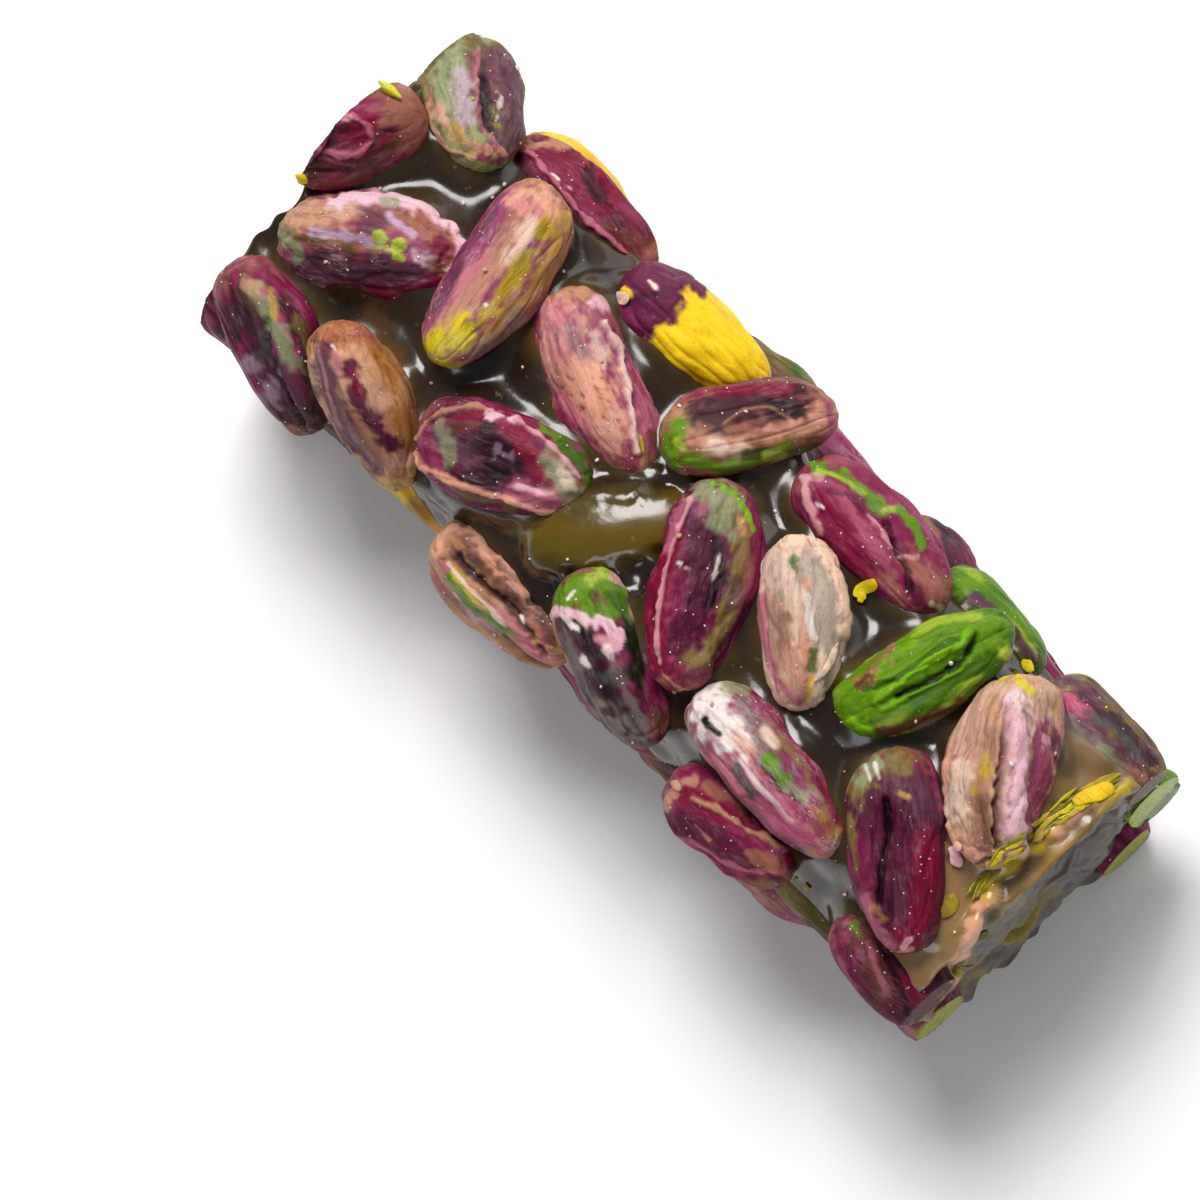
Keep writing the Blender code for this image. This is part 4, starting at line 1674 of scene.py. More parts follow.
@dataclass
class Scraps:
    """Chips, shreds and torn skin, each laid where the view sees it.

    Attributes:
        pieces: The finished kernels and jelly that they lie on.
        cuts: Cuts along and across each scrap.
        evenings: How often a scrap's middle line is smoothed.
        leap: The longest step in millimetres that a scrap's line takes, so that none hangs off an edge.
        stations: How many places on a scrap's line are looked up.
    """

    pieces: list[bpy.types.Object]
    cuts: int = 4
    evenings: int = 2
    leap: float = 0.9
    stations: int = 9

    def __post_init__(self) -> None:
        """Joins the pieces in one search tree."""
        self.tree = tree_of(self.pieces)

    def build(self, name: str, scraps: tuple[Scrap, ...]) -> bpy.types.Object:
        """Makes scraps of one finish and joins them.

        Args:
            name: The finished piece's name.
            scraps: The scraps.

        Returns:
            The finished piece.
        """
        made = [self._one(f"{name}_{number}", scrap, number) for number, scrap in enumerate(scraps)]
        return joined(name, made, scraps[0].finish)

    def _one(self, name: str, scrap: Scrap, seed: int) -> bpy.types.Object:
        """Makes one scrap from a block that is cut finely, drawn out along its line and rounded.

        Args:
            name: The scrap's name.
            scrap: What it is like.
            seed: The seed of its unevenness.

        Returns:
            The scrap.
        """
        bpy.ops.object.select_all(action="DESELECT")
        bpy.ops.mesh.primitive_cube_add(size=1)
        piece = bpy.context.active_object
        piece.name = piece.data.name = name
        bpy.ops.object.mode_set(mode="EDIT")
        bpy.ops.mesh.subdivide(number_cuts=self.cuts)
        bpy.ops.object.mode_set(mode="OBJECT")
        block = points_of(piece.data)
        share = block[:, 0] + 0.5
        places, outwards = self._line(scrap)
        steps = np.linspace(0, 1, len(places))
        middle = np.column_stack([np.interp(share, steps, places[:, i]) for i in range(3)])
        outward = np.column_stack([np.interp(share, steps, outwards[:, i]) for i in range(3)])
        outward /= np.linalg.norm(outward, axis=1, keepdims=True)
        along = np.column_stack([np.interp(share, steps, np.gradient(places[:, i])) for i in range(3)])
        side = np.cross(outward, along)
        side /= np.linalg.norm(side, axis=1, keepdims=True) + 1e-9
        narrow = 1 - scrap.taper * np.abs(2 * share - 1) ** 2.2
        ragged = 1 + 0.16 * waves(np.column_stack((share * 9, block[:, 1] * 2, share * 0)), 1.6, seed + 31)
        reach = 2 * block[:, 1] * scrap.wide * narrow * ragged
        height = block[:, 2] * scrap.thick * (1 - 0.6 * np.abs(2 * block[:, 1]) ** 2) * (0.4 + 0.6 * narrow)
        wave = 0.06 * waves(middle, 1.8, seed + 61)
        points = middle + side * reach[:, None] + outward * (height + scrap.lift + wave)[:, None]
        points[:, 2] = np.maximum(points[:, 2], 0)
        put_points(piece.data, points * MM)
        modifier = piece.modifiers.new("rounding", "SUBSURF")
        modifier.levels = modifier.render_levels = 1
        select_only(piece)
        bpy.ops.object.modifier_apply(modifier=modifier.name)
        lie = points_of(piece.data) / MM
        colours = np.tile(scrap.tint.rgb, (len(lie), 1))
        shades = smoothstep(-0.4, 1.2, waves(lie, 1.6, seed + 91))
        ends = np.linalg.norm(lie - places[len(places) // 2], axis=1)
        tips = (ends / max(ends.max(), 1e-6)) ** 3
        colours = mixed(colours, scrap.tip.rgb, np.maximum(shades * 0.5, tips * 0.8))
        put_paint(piece.data, "paint", colours)
        put_values(piece.data, "lie", lie)
        return piece

    def _line(self, scrap: Scrap) -> tuple[np.ndarray, np.ndarray]:
        """Finds a scrap's middle line on the bar, along the view's lines of sight.

        Args:
            scrap: The scrap.

        Returns:
            Places on the line in millimetres, and the directions outwards there.
        """
        corners = np.array(scrap.path, float).reshape(-1, 2)
        spots = np.linspace(0, len(corners) - 1, self.stations)
        seen = np.column_stack([np.interp(spots, np.arange(len(corners)), corners[:, i]) for i in range(2)])
        places, outwards = [], []
        for spot in seen:
            start, way = VIEW.ray(spot)
            found, normal, _, _ = self.tree.ray_cast(start, way)
            if found is None:
                beside = start + way * ((SECTION.axis_height - start.z) / way.z)
                found, normal, _, _ = self.tree.find_nearest(beside)
            places.append(np.array(found))
            outwards.append(np.array(normal) * 0.6 + np.array(VIEW.back) * 0.4)
        line, ways = np.array(places), np.array(outwards)
        joins = np.linalg.norm(np.diff(line, axis=0), axis=1) < self.leap
        low = high = max(range(len(joins)), key=lambda step: self._run(joins, step))
        while high < len(joins) and joins[high]:
            high += 1
        high = max(high, low + 1)
        line, ways = line[low : high + 1], ways[low : high + 1]
        for _ in range(self.evenings):
            padded = np.vstack((line[:1], line, line[-1:]))
            line = (padded[:-2] + 2 * line + padded[2:]) / 4
        return line, ways

    @staticmethod
    def _run(joins: np.ndarray, start: int) -> int:
        """How many joins in a row hold from a start on."""
        return int(np.argmin(np.append(joins[start:], False)))


@dataclass
class Crumbs:
    """Sugar and nut crumbs that cling all over the bar.

    Attributes:
        pieces: The finished kernels and jelly that they lie on.
        count: How many there are.
        least: The least half size in millimetres.
        most: The greatest half size in millimetres.
        seed: The seed of their places.
        half_length: How far from the bar's middle they lie at most, in millimetres.
        half_turn: How far round from the bar's top they lie at most, in radians.
        outside: How far from the bar's axis they are let fall, in millimetres.
    """

    pieces: list[bpy.types.Object]
    count: int = 190
    least: float = 0.07
    most: float = 0.30
    seed: int = 77
    half_length: float = 39.5
    half_turn: float = 1.9
    outside: float = 30.0

    def build(self) -> bpy.types.Object:
        """Makes one crumb, copies it to every place and joins the copies.

        Returns:
            The finished piece.
        """
        first = self._first()
        grain = points_of(first.data)
        tree = tree_of(self.pieces)
        draw = np.random.default_rng(self.seed)
        tints = (Tint.BONE, Tint.CREAM, Tint.SAND, Tint.BLUSH, Tint.STRAW)
        made = []
        while len(made) < self.count:
            x = draw.uniform(-self.half_length, self.half_length)
            angle = draw.uniform(-self.half_turn, self.half_turn)
            way = Vector((0, math.sin(angle), -math.cos(angle)))
            start = Vector((x, SECTION.axis_across, SECTION.axis_height)) - way * self.outside
            found, normal, _, _ = tree.ray_cast(start, way)
            if found is None:
                continue
            half = self.least + (self.most - self.least) * draw.uniform() ** 3
            turn = np.linalg.qr(draw.normal(size=(3, 3)))[0]
            points = (grain * half * draw.uniform(0.6, 1.2, 3)) @ turn.T
            points = points + np.array(found + normal * half * 0.35)
            crumb = bpy.data.objects.new(f"crumb_{len(made)}", first.data.copy())
            bpy.context.scene.collection.objects.link(crumb)
            put_points(crumb.data, points * MM)
            put_paint(crumb.data, "paint", np.tile(draw.choice(tints).rgb, (len(points), 1)))
            put_values(crumb.data, "lie", points)
            made.append(crumb)
        bpy.data.objects.remove(first, do_unlink=True)
        return joined("sugar_crumbs", made, TAN_SKIN)

    def _first(self) -> bpy.types.Object:
        """Makes a crumb of unit half size: a ball with its corners pushed about.

        Returns:
            The crumb.
        """
        bpy.ops.object.select_all(action="DESELECT")
        bpy.ops.mesh.primitive_ico_sphere_add(subdivisions=1, radius=1)
        piece = bpy.context.active_object
        piece.name = piece.data.name = "crumb"
        bpy.ops.object.mode_set(mode="EDIT")
        bpy.ops.mesh.select_all(action="SELECT")
        bpy.ops.transform.vertex_random(offset=0.28, seed=3)
        bpy.ops.object.mode_set(mode="OBJECT")
        return piece


# The near cut's upper rim: across and down of each corner, in the view's units
NEAR_RIM = (968, 902, 990, 868, 1018, 846, 1046, 822, 1066, 806, 1096, 790)


def fringe(seed: int = 12, count: int = 96) -> tuple[Scrap, ...]:
    """The fibres that the knife has dragged up along the near cut's rim.

    Args:
        seed: The seed of their places.
        count: How many there are.

    Returns:
        The fibres as thin scraps.
    """
    draw = np.random.default_rng(seed)
    rim = np.array(NEAR_RIM, float).reshape(-1, 2)
    tints = (Tint.MUSTARD, Tint.LEAF, Tint.CITRON, Tint.STRAW, Tint.OLIVE)
    found = []
    for _ in range(count):
        place = draw.uniform(0, len(rim) - 1.001)
        start = rim[int(place)] + (rim[int(place) + 1] - rim[int(place)]) * (place % 1)
        way = rim[int(place) + 1] - rim[int(place)]
        way = way / np.linalg.norm(way)
        across = np.array([-way[1], way[0]])
        start = start + across * draw.uniform(-8, 8)
        end = start + way * draw.uniform(12, 44) + across * draw.uniform(-3, 4)
        middle = (start + end) / 2 + across * draw.uniform(-2, 3)
        path = (*start, *middle, *end)
        tint, tip = tints[draw.integers(len(tints))], tints[draw.integers(len(tints))]
        found.append(Scrap(path, draw.uniform(0.06, 0.24), tint, tip, 0.12, draw.uniform(-0.05, 0.2)))
    return tuple(found)


# Shreds and chips of nut, drawn where the view shows them
GREEN_SCRAPS = (
    Scrap((856, 600, 862, 588, 878, 582), 0.5, Tint.CITRON, Tint.GOLD, 0.25, 0.3, GREEN_FLESH, 0.3),
    Scrap((860, 604, 864, 592), 0.3, Tint.GOLD, Tint.CITRON, 0.25, 0.35, GREEN_FLESH, 0.3),
    Scrap((384, 96, 400, 82, 428, 70), 1.05, Tint.CITRON, Tint.LIME, 0.9, 0.3, GREEN_FLESH, 0.5),
    Scrap((292, 190, 294, 172, 306, 156), 0.7, Tint.CITRON, Tint.AMBER, 0.6, 0.3),
    Scrap((298, 186, 304, 174), 0.6, Tint.GOLD, Tint.CITRON, 0.6, 0.2),
    Scrap((960, 985, 966, 962, 972, 938), 0.6, Tint.VIVID, Tint.MUSTARD, 0.5, 0.4),
    Scrap((952, 974, 962, 968), 0.5, Tint.MUSTARD, Tint.LIME, 0.4, 0.3),
    Scrap((940, 916, 950, 902, 958, 898), 0.8, Tint.OLIVE, Tint.MUSTARD, 0.5, 0.0, GREEN_FLESH, 0.4),
    Scrap((1072, 806, 1092, 794, 1116, 788), 0.7, Tint.GOLD, Tint.MUSTARD, 0.5, 0.2, GREEN_FLESH, 0.5),
    Scrap((1020, 660, 1030, 672, 1036, 684), 0.5, Tint.CITRON, Tint.GOLD, 0.4, 0.2),
    Scrap((790, 874, 798, 880), 0.3, Tint.OLIVE, Tint.MUSTARD, 0.25, 0.15),
    Scrap((804, 884, 810, 890), 0.28, Tint.MUSTARD, Tint.OLIVE, 0.25, 0.15),
    Scrap((980, 930, 990, 944), 0.5, Tint.MOSS, Tint.OLIVE, 0.4, 0.0),
    Scrap((1000, 946, 1022, 926, 1040, 906), 0.7, Tint.OLIVE, Tint.MUSTARD, 0.5, 0.0, GREEN_FLESH, 0.6),
)
# Flakes of skin that have come off
SKIN_SCRAPS = (
    Scrap((613, 288, 622, 294, 630, 304), 0.55, Tint.SAND, Tint.CREAM, 0.35, 0.4, TAN_SKIN),
    Scrap((948, 846, 956, 856, 962, 868), 0.5, Tint.BLUSH, Tint.PETAL, 0.3, 0.35, TAN_SKIN),
    Scrap((956, 842, 962, 850), 0.35, Tint.PEACH, Tint.BLUSH, 0.3, 0.3, TAN_SKIN),
    Scrap((838, 640, 830, 664, 812, 684), 0.3, Tint.CREAM, Tint.SAND, 0.3, 0.2, TAN_SKIN),
    Scrap((672, 782, 684, 790), 0.4, Tint.SAND, Tint.TAN, 0.3, 0.2, TAN_SKIN),
)


# What the view sees on each kernel, by the kernel's number, drawn from the lowest layer up
STROKES: dict[int, tuple[Stroke, ...]] = {
    1: (
        Stroke((310, 150, 345, 165, 400, 170, 428, 150), 17, Tint.UMBER, 0.8),
        Stroke((330, 118, 375, 122, 408, 136), 20, Tint.CRIMSON, 0.85),
        # Painted shade: dark ink in a sunk crease
        Stroke((350, 130, 388, 130), 8, Tint.INK, 0.6, -0.1),
        Stroke(
            (320, 136, 345, 143, 380, 157, 400, 156, 417, 142, 412, 128, 396, 117),
            2.6, Tint.ROSE, 0.75, 0.25,
        ),
        Stroke((349, 111, 357, 113), 3.2, Tint.PETAL, 0.8),
        Stroke((376, 116, 392, 119), 3, Tint.BLUSH, 0.8),
        Stroke((312, 149, 340, 153, 370, 162, 395, 168), 2, Tint.ORCHID, 0.5, 0.14),
        # Painted shade: a dark line sunk into a crease along the lower edge
        Stroke((315, 165, 350, 172, 392, 174), 2.6, Tint.BARK, 0.7, -0.2),
    ),
    2: (
        Stroke((452, 70, 446, 110, 456, 140, 482, 155), 24, Tint.SAGE, 0.75),
        Stroke((444, 90, 446, 120), 12, Tint.STONE, 0.5),
        Stroke((440, 128, 458, 148, 480, 158), 8, Tint.SAND, 0.7),
        Stroke((496, 66, 506, 110, 502, 150), 20, Tint.GRAPE, 0.9),
        # Painted shade: dark ink in a sunk crease
        Stroke((476, 80, 481, 110, 480, 132), 6, Tint.INK, 0.85, -0.3),
        Stroke((441, 62, 430, 92, 436, 122), 9, Tint.SAGE, 0.85),
        Stroke((430, 112, 437, 122), 6, Tint.PEACH, 0.7),
        Stroke((456, 78, 460, 122), 9, Tint.LILAC, 0.55),
        Stroke((446, 130, 455, 143), 6, Tint.STRAW, 0.6),
        Stroke((463, 58, 467, 78), 6, Tint.MAGENTA, 0.55),
        Stroke((468, 54, 471, 100, 476, 130, 488, 148, 497, 160), 3, Tint.ROSE, 0.6, 0.35),
        Stroke((470, 152, 490, 156), 6, Tint.PEACH, 0.8),
        Stroke((474, 163, 492, 167), 4.5, Tint.MAGENTA, 0.7),
        Stroke((424, 92, 419, 110, 426, 132, 442, 152, 466, 163), 2.4, Tint.PEACH, 0.8, 0.1),
        Stroke((486, 90, 492, 100, 490, 120), 1.6, Tint.BONE, 0.5, 0.0, 0.5, 1.2),
    ),
    3: (
        Stroke((508, 90, 520, 115), 8, Tint.PLUM, 0.8),
        Stroke((516, 108, 536, 130), 9, Tint.SAND, 0.7),
        Stroke((520, 118, 528, 134), 6, Tint.LEAF, 0.85),
    ),
    4: (
        Stroke((285, 262, 330, 272, 385, 280), 21, Tint.GRAPE, 0.85),
        Stroke((300, 252, 350, 266, 405, 270), 12, Tint.DUSK, 0.45),
        Stroke((345, 227, 366, 218, 350, 208), 10, Tint.GRAPE, 0.8),
        Stroke((402, 222, 424, 234, 408, 212), 15, Tint.TAN, 0.85),
        Stroke((326, 202, 346, 195), 7, Tint.ORCHID, 0.75),
        Stroke((268, 224, 295, 206, 326, 203), 16, Tint.SAND, 0.9, 0.12),
        Stroke((262, 226, 276, 246), 9, Tint.SAGE, 0.85),
        Stroke((280, 232, 300, 236, 340, 246), 4, Tint.OLIVE, 0.7),
        Stroke((297, 228, 330, 231, 356, 238), 4.5, Tint.LILAC, 0.85, 0.1),
        Stroke((372, 212, 385, 224, 398, 233), 4, Tint.LILAC, 0.85, 0.1),
        Stroke((425, 250, 433, 266), 13, Tint.MAGENTA, 0.8),
        Stroke((318, 286, 360, 292, 400, 288, 436, 272), 8, Tint.CRIMSON, 0.9),
        Stroke(
            (316, 199, 342, 193, 382, 196, 415, 210, 436, 230, 444, 252, 434, 268),
            7, Tint.PETAL, 0.95, 0.25,
        ),
        Stroke((430, 236, 442, 258), 12, None, 0.0, 0.5),
        Stroke((365, 198, 378, 200), 4, Tint.SAGE, 0.8),
        Stroke((364, 236, 381, 243), 7.5, Tint.LIME, 1.0, 0.08, 0.25),
        Stroke((381, 254, 384, 255), 5.5, Tint.LIME, 1.0, 0.06, 0.25),
        Stroke((396, 250, 410, 258), 5.5, Tint.PETAL, 0.8),
        Stroke((413, 262, 430, 270), 5, Tint.OLIVE, 0.5),
        Stroke((404, 218, 412, 226), 4, Tint.RUST, 0.4, -0.15),
    ),
    5: (
        Stroke((248, 262, 250, 300, 263, 345, 290, 392), 21, Tint.DUSK, 0.85),
        Stroke((245, 255, 262, 272), 11, Tint.UMBER, 0.6),
        Stroke((275, 308, 290, 350, 300, 392), 9, Tint.GRAPE, 0.85),
        Stroke((281, 265, 300, 300, 311, 350, 312, 402), 8, Tint.BARK, 0.85),
        Stroke((296, 285, 306, 310), 5, Tint.OLIVE, 0.7),
        Stroke((240, 330, 258, 338), 7, Tint.LILAC, 0.35, 0.0, 0.9, 0.9),
        Stroke((255, 358, 268, 362), 7, Tint.LILAC, 0.35, 0.0, 0.9, 0.9),
        # Painted shade: dark ink in the sunk groove
        Stroke((267, 285, 269, 320, 276, 345, 286, 365, 296, 392), 3.4, Tint.INK, 0.85, -0.45),
        Stroke((271, 300, 274, 312), 2.0, Tint.LILAC, 0.6, 0.0, 0.8, 1.0),
        Stroke((270, 322, 274, 340), 1.6, Tint.LILAC, 0.5, 0.0, 0.8, 1.0),
        Stroke((256, 252, 274, 286, 292, 330), 8, Tint.SAGE, 0.75, 0.12),
        Stroke((248, 248, 262, 258), 7, Tint.SAND, 0.6),
        Stroke((270, 255, 276, 282), 4, Tint.STRAW, 0.7),
        Stroke((272, 398, 296, 412, 318, 418), 9, Tint.TAN, 0.75),
        Stroke((262, 300, 268, 330), 5, Tint.SLATE, 0.5),
    ),
    6: (
        Stroke((220, 282, 222, 325), 11, Tint.PLUM, 0.8),
        Stroke((225, 252, 240, 256), 8, Tint.LIME, 0.8),
        Stroke((225, 272, 228, 280), 7, Tint.TAN, 0.7),
        Stroke((232, 345, 242, 358), 9, Tint.SAND, 0.75),
    ),
    8: (
        Stroke((515, 170, 545, 202, 590, 252, 625, 282), 15, Tint.PLUM, 0.9),
        Stroke((540, 158, 580, 182, 605, 215, 625, 250), 20, Tint.CRIMSON, 0.6),
        Stroke((556, 160, 588, 178, 606, 205), 6, Tint.CRIMSON, 0.85, 0.1),
        # Painted shade: dark ink in a sunk crease
        Stroke((582, 180, 596, 204), 7, Tint.INK, 0.75, -0.25),
        Stroke((604, 232, 626, 254, 636, 276), 13, Tint.UMBER, 0.6),
        Stroke((606, 215, 616, 235), 3, Tint.PLUM, 0.7, -0.2),
        Stroke((508, 152, 526, 160, 546, 186, 570, 216, 596, 241, 620, 262), 2.8, Tint.ROSE, 0.85, 0.4),
        Stroke((518, 148, 545, 148, 562, 153), 3.6, Tint.SAND, 0.75, 0.1),
        Stroke((634, 282, 642, 262), 5, Tint.ROSE, 0.5),
        # Painted highlights: two small white glints
        Stroke((545, 180, 552, 187), 1.5, Tint.BONE, 0.9),
        Stroke((560, 192, 564, 195), 1.8, Tint.BONE, 0.9),
    ),
    9: (
        Stroke((548, 150, 590, 172, 612, 192), 10, Tint.OLIVE, 0.75),
        Stroke((585, 170, 612, 195, 618, 215), 8, Tint.SAND, 0.75),
        Stroke((622, 190, 634, 215), 7, Tint.OLIVE, 0.5),
        Stroke((630, 215, 645, 240), 12, Tint.OCHRE, 0.9),
        Stroke((638, 218, 650, 232), 6, Tint.AMBER, 0.8),
    ),
    10: (
        Stroke((500, 206, 460, 252, 430, 296, 420, 332), 16, Tint.ORCHID, 0.85),
        Stroke((532, 216, 500, 256, 460, 306, 438, 336), 14, Tint.SAND, 0.8),
        Stroke((545, 230, 530, 280, 480, 340), 16, Tint.TAN, 0.55),
        Stroke((515, 205, 542, 214), 16, Tint.PEACH, 0.8),
        Stroke((520, 212, 528, 220), 9, Tint.ROSE, 0.5),
        Stroke((480, 262, 450, 300), 5, Tint.ROSE, 0.6),
        Stroke((490, 214, 458, 262, 432, 312), 3.4, Tint.GRAPE, 0.75, -0.06, 0.8),
        Stroke((480, 216, 446, 268, 424, 318), 2.6, Tint.PLUM, 0.55, -0.06, 0.8),
        Stroke((500, 222, 470, 264), 2.2, Tint.MAGENTA, 0.6, -0.05, 0.8),
        Stroke((524, 236, 508, 262), 9, Tint.CREAM, 0.65),
        Stroke((558, 226, 552, 266, 532, 292, 500, 322, 482, 346), 9, Tint.STRAW, 0.75),
        Stroke((562, 246, 550, 286, 520, 316, 486, 356), 5, Tint.TAN, 0.6),
        Stroke((541, 232, 536, 242), 6.5, Tint.MUSTARD, 0.9),
        Stroke((526, 258, 505, 286, 480, 322, 456, 346), 7, Tint.MUSTARD, 0.9),
        Stroke((428, 350, 446, 346, 458, 334), 14, Tint.CITRON, 0.95),
        Stroke((432, 366, 446, 374), 7, Tint.MUSTARD, 0.8),
        Stroke((470, 358, 512, 326), 8, Tint.ASH, 0.6),
        Stroke((480, 310, 481, 311), 1.8, Tint.BONE, 1.0, 0.1),
    ),
    11: (
        Stroke((326, 332, 356, 330), 17, Tint.RUST, 0.75),
        Stroke((332, 352, 346, 350), 8, Tint.PEACH, 0.55),
        Stroke((374, 352, 390, 400, 400, 440), 13, Tint.OCHRE, 0.85),
        Stroke((315, 352, 320, 392, 336, 432, 362, 468), 12, Tint.GRAPE, 0.85),
        Stroke((312, 350, 316, 392, 330, 428), 2.2, Tint.BLUSH, 0.5, 0.08),
        Stroke((360, 440, 386, 472), 12, Tint.TAN, 0.65),
        Stroke((352, 346, 370, 372, 378, 402), 5, Tint.SAND, 0.6),
        Stroke((342, 366, 350, 394, 366, 426, 382, 446), 7, Tint.PLUM, 0.95, -0.12),
        Stroke((345, 372, 352, 392), 3.4, Tint.CRIMSON, 0.7),
        Stroke((366, 440, 380, 448), 4, Tint.PLUM, 0.7),
        # Painted highlight: a small white glint
        Stroke((326, 345, 328, 348), 2, Tint.BONE, 0.9),
    ),
    12: (
        Stroke((292, 410, 325, 435), 14, Tint.MOSS, 0.85),
        Stroke((296, 408, 310, 420), 5, Tint.OLIVE, 0.8),
    ),
    13: (
        Stroke((352, 462, 372, 492, 395, 520), 14, Tint.OCHRE, 0.85),
        Stroke((358, 470, 378, 500), 6, Tint.GOLD, 0.7),
        Stroke((385, 462, 405, 500), 5, Tint.GRAPE, 0.7),
    ),
    14: (
        Stroke((425, 420, 452, 424, 450, 442), 17, Tint.GRAPE, 0.8),
        Stroke((440, 408, 480, 404), 7, Tint.UMBER, 0.7),
        Stroke((428, 408, 438, 442), 8, Tint.SAGE, 0.65),
        Stroke((414, 412, 417, 442), 5, Tint.MAGENTA, 0.8),
        Stroke((480, 428, 500, 438, 486, 456), 20, Tint.INK, 0.8),
        Stroke((506, 415, 526, 446, 530, 462), 9, Tint.CRIMSON, 0.85),
        Stroke((440, 456, 470, 470), 6, Tint.INK, 0.6),
        Stroke((450, 398, 500, 398, 526, 404, 536, 414), 5, Tint.CRIMSON, 0.7),
        Stroke((500, 472, 530, 482, 556, 488), 12, Tint.ROSE, 0.85),
        Stroke((505, 470, 540, 476), 3, Tint.PETAL, 0.6),
        Stroke((540, 448, 556, 464, 566, 482), 11, Tint.SAGE, 0.8),
        Stroke((550, 456, 562, 472), 5, Tint.CREAM, 0.6),
        Stroke((534, 408, 550, 424), 5, Tint.LEAF, 0.95),
        Stroke((552, 428, 570, 446, 577, 466), 6, Tint.FERN, 0.95),
        Stroke((576, 462, 577, 478), 4, Tint.LEAF, 0.9),
        Stroke((426, 458, 462, 481, 500, 494), 3, Tint.OLIVE, 0.7),
        Stroke((476, 397, 500, 404), 3.6, Tint.PETAL, 0.9, 0.12, 0.5, 0.7),
        Stroke((504, 404, 530, 420, 552, 442, 568, 462), 2.4, Tint.BLUSH, 0.85, 0.28),
        Stroke((404, 420, 412, 404, 430, 393, 462, 390, 480, 394), 2.6, Tint.SAND, 0.7, 0.2),
        Stroke(
            (403, 436, 408, 448, 426, 455, 450, 466, 480, 478, 520, 492, 560, 500),
            2.8, Tint.PEACH, 0.9, 0.2,
        ),
        Stroke((486, 430, 498, 440), 3, Tint.LILAC, 0.3, 0.0, 1.0, 1.6),
    ),
    15: (
        Stroke((556, 335, 590, 380, 612, 432), 32, Tint.PEACH, 0.8),
        Stroke((556, 312, 572, 348), 14, Tint.ROSE, 0.6),
        Stroke((576, 330, 590, 352), 9, Tint.ASH, 0.55),
        Stroke((560, 318, 566, 352), 2, Tint.GRAPE, 0.4, -0.08, 0.9),
        Stroke((572, 312, 580, 348), 2, Tint.GRAPE, 0.4, -0.08, 0.9),
        Stroke((584, 330, 594, 362), 2, Tint.GRAPE, 0.4, -0.08, 0.9),
        Stroke((565, 290, 590, 290), 5, Tint.SAND, 0.7),
        Stroke((598, 300, 606, 304), 6, Tint.PETAL, 0.8),
        Stroke((600, 312, 612, 322), 5, Tint.ORCHID, 0.55),
        Stroke((560, 392, 592, 436), 9, Tint.PINK, 0.6),
        Stroke((596, 438, 628, 458), 12, Tint.MAGENTA, 0.6),
        Stroke((592, 372, 606, 412, 618, 436), 15, Tint.PEACH, 0.7),
        Stroke((600, 330, 608, 360), 6, Tint.CREAM, 0.6),
        Stroke((538, 312, 537, 352, 554, 402, 586, 442, 616, 474, 640, 482), 6, Tint.MAGENTA, 0.85),
        Stroke((640, 372, 650, 412, 656, 442), 9, Tint.ROSE, 0.85),
        Stroke((637, 368, 648, 392), 2.6, Tint.MAGENTA, 0.7),
        Stroke((658, 436, 656, 472), 8, Tint.UMBER, 0.75),
        *dots((566, 372, 636, 456), 34, 1.5, Tint.CRIMSON),
        Stroke((632, 440, 640, 476), 7, Tint.MAGENTA, 0.65),
        Stroke((606, 322, 624, 346, 631, 382, 636, 420, 640, 448), 2.8, Tint.CREAM, 0.8, 0.45),
        Stroke((645, 434, 647, 446), 2.2, Tint.CITRON, 0.95, 0.1),
        Stroke((545, 372, 546, 373), 2, Tint.CRIMSON, 0.5, -0.1),
        Stroke((563, 384, 564, 384), 2, Tint.CRIMSON, 0.5, -0.1),
        Stroke((572, 373, 573, 374), 2, Tint.CRIMSON, 0.5, -0.1),
        Stroke((587, 391, 588, 392), 2.2, Tint.CRIMSON, 0.5, -0.1),
        Stroke((583, 404, 584, 405), 2.2, Tint.CRIMSON, 0.5, -0.1),
        Stroke((601, 384, 602, 385), 2, Tint.RUST, 0.5, -0.1),
        Stroke((612, 376, 613, 377), 2, Tint.RUST, 0.5, -0.1),
    ),
    16: (
        Stroke((665, 350, 700, 330, 750, 380), 60, Tint.GOLD, 1.0),
        Stroke((650, 356, 680, 385, 706, 402), 8, Tint.AMBER, 0.75),
        Stroke((668, 372, 700, 392), 6, Tint.AMBER, 0.4),
        Stroke((622, 268, 684, 272), 26, Tint.PLUM, 1.0, 0.1, 0.15, 0.1),
        Stroke((626, 300, 668, 304), 26, Tint.PLUM, 1.0, 0.1, 0.15, 0.12),
        Stroke((640, 328, 652, 330), 13, Tint.PLUM, 1.0, 0.12, 0.2, 0.25),
        Stroke((676, 300, 682, 304), 9, Tint.PLUM, 1.0, 0.12, 0.2, 0.4),
        Stroke((700, 280, 706, 290), 12, Tint.PLUM, 1.0, 0.12, 0.2, 0.3),
        Stroke((632, 305, 645, 330), 5, Tint.MAGENTA, 0.6),
        Stroke((640, 300, 672, 296), 5, Tint.INK, 0.5, 0.0, 0.9),
        Stroke((660, 284, 668, 292), 1.8, Tint.CREAM, 0.9),
        Stroke((636, 293, 641, 296), 4, Tint.GOLD, 1.0, 0.15),
    ),
    17: (
        Stroke((655, 262, 690, 274), 9, Tint.GRAPE, 0.8),
        Stroke((668, 284, 700, 280, 712, 292), 6, Tint.PETAL, 0.85, 0.1),
        Stroke((662, 278, 692, 284), 4, Tint.MAGENTA, 0.7),
    ),
    18: (
        Stroke((722, 308, 745, 316, 752, 336), 8, Tint.LIME, 0.9),
        Stroke((756, 338, 762, 352), 7, Tint.DUSK, 0.8),
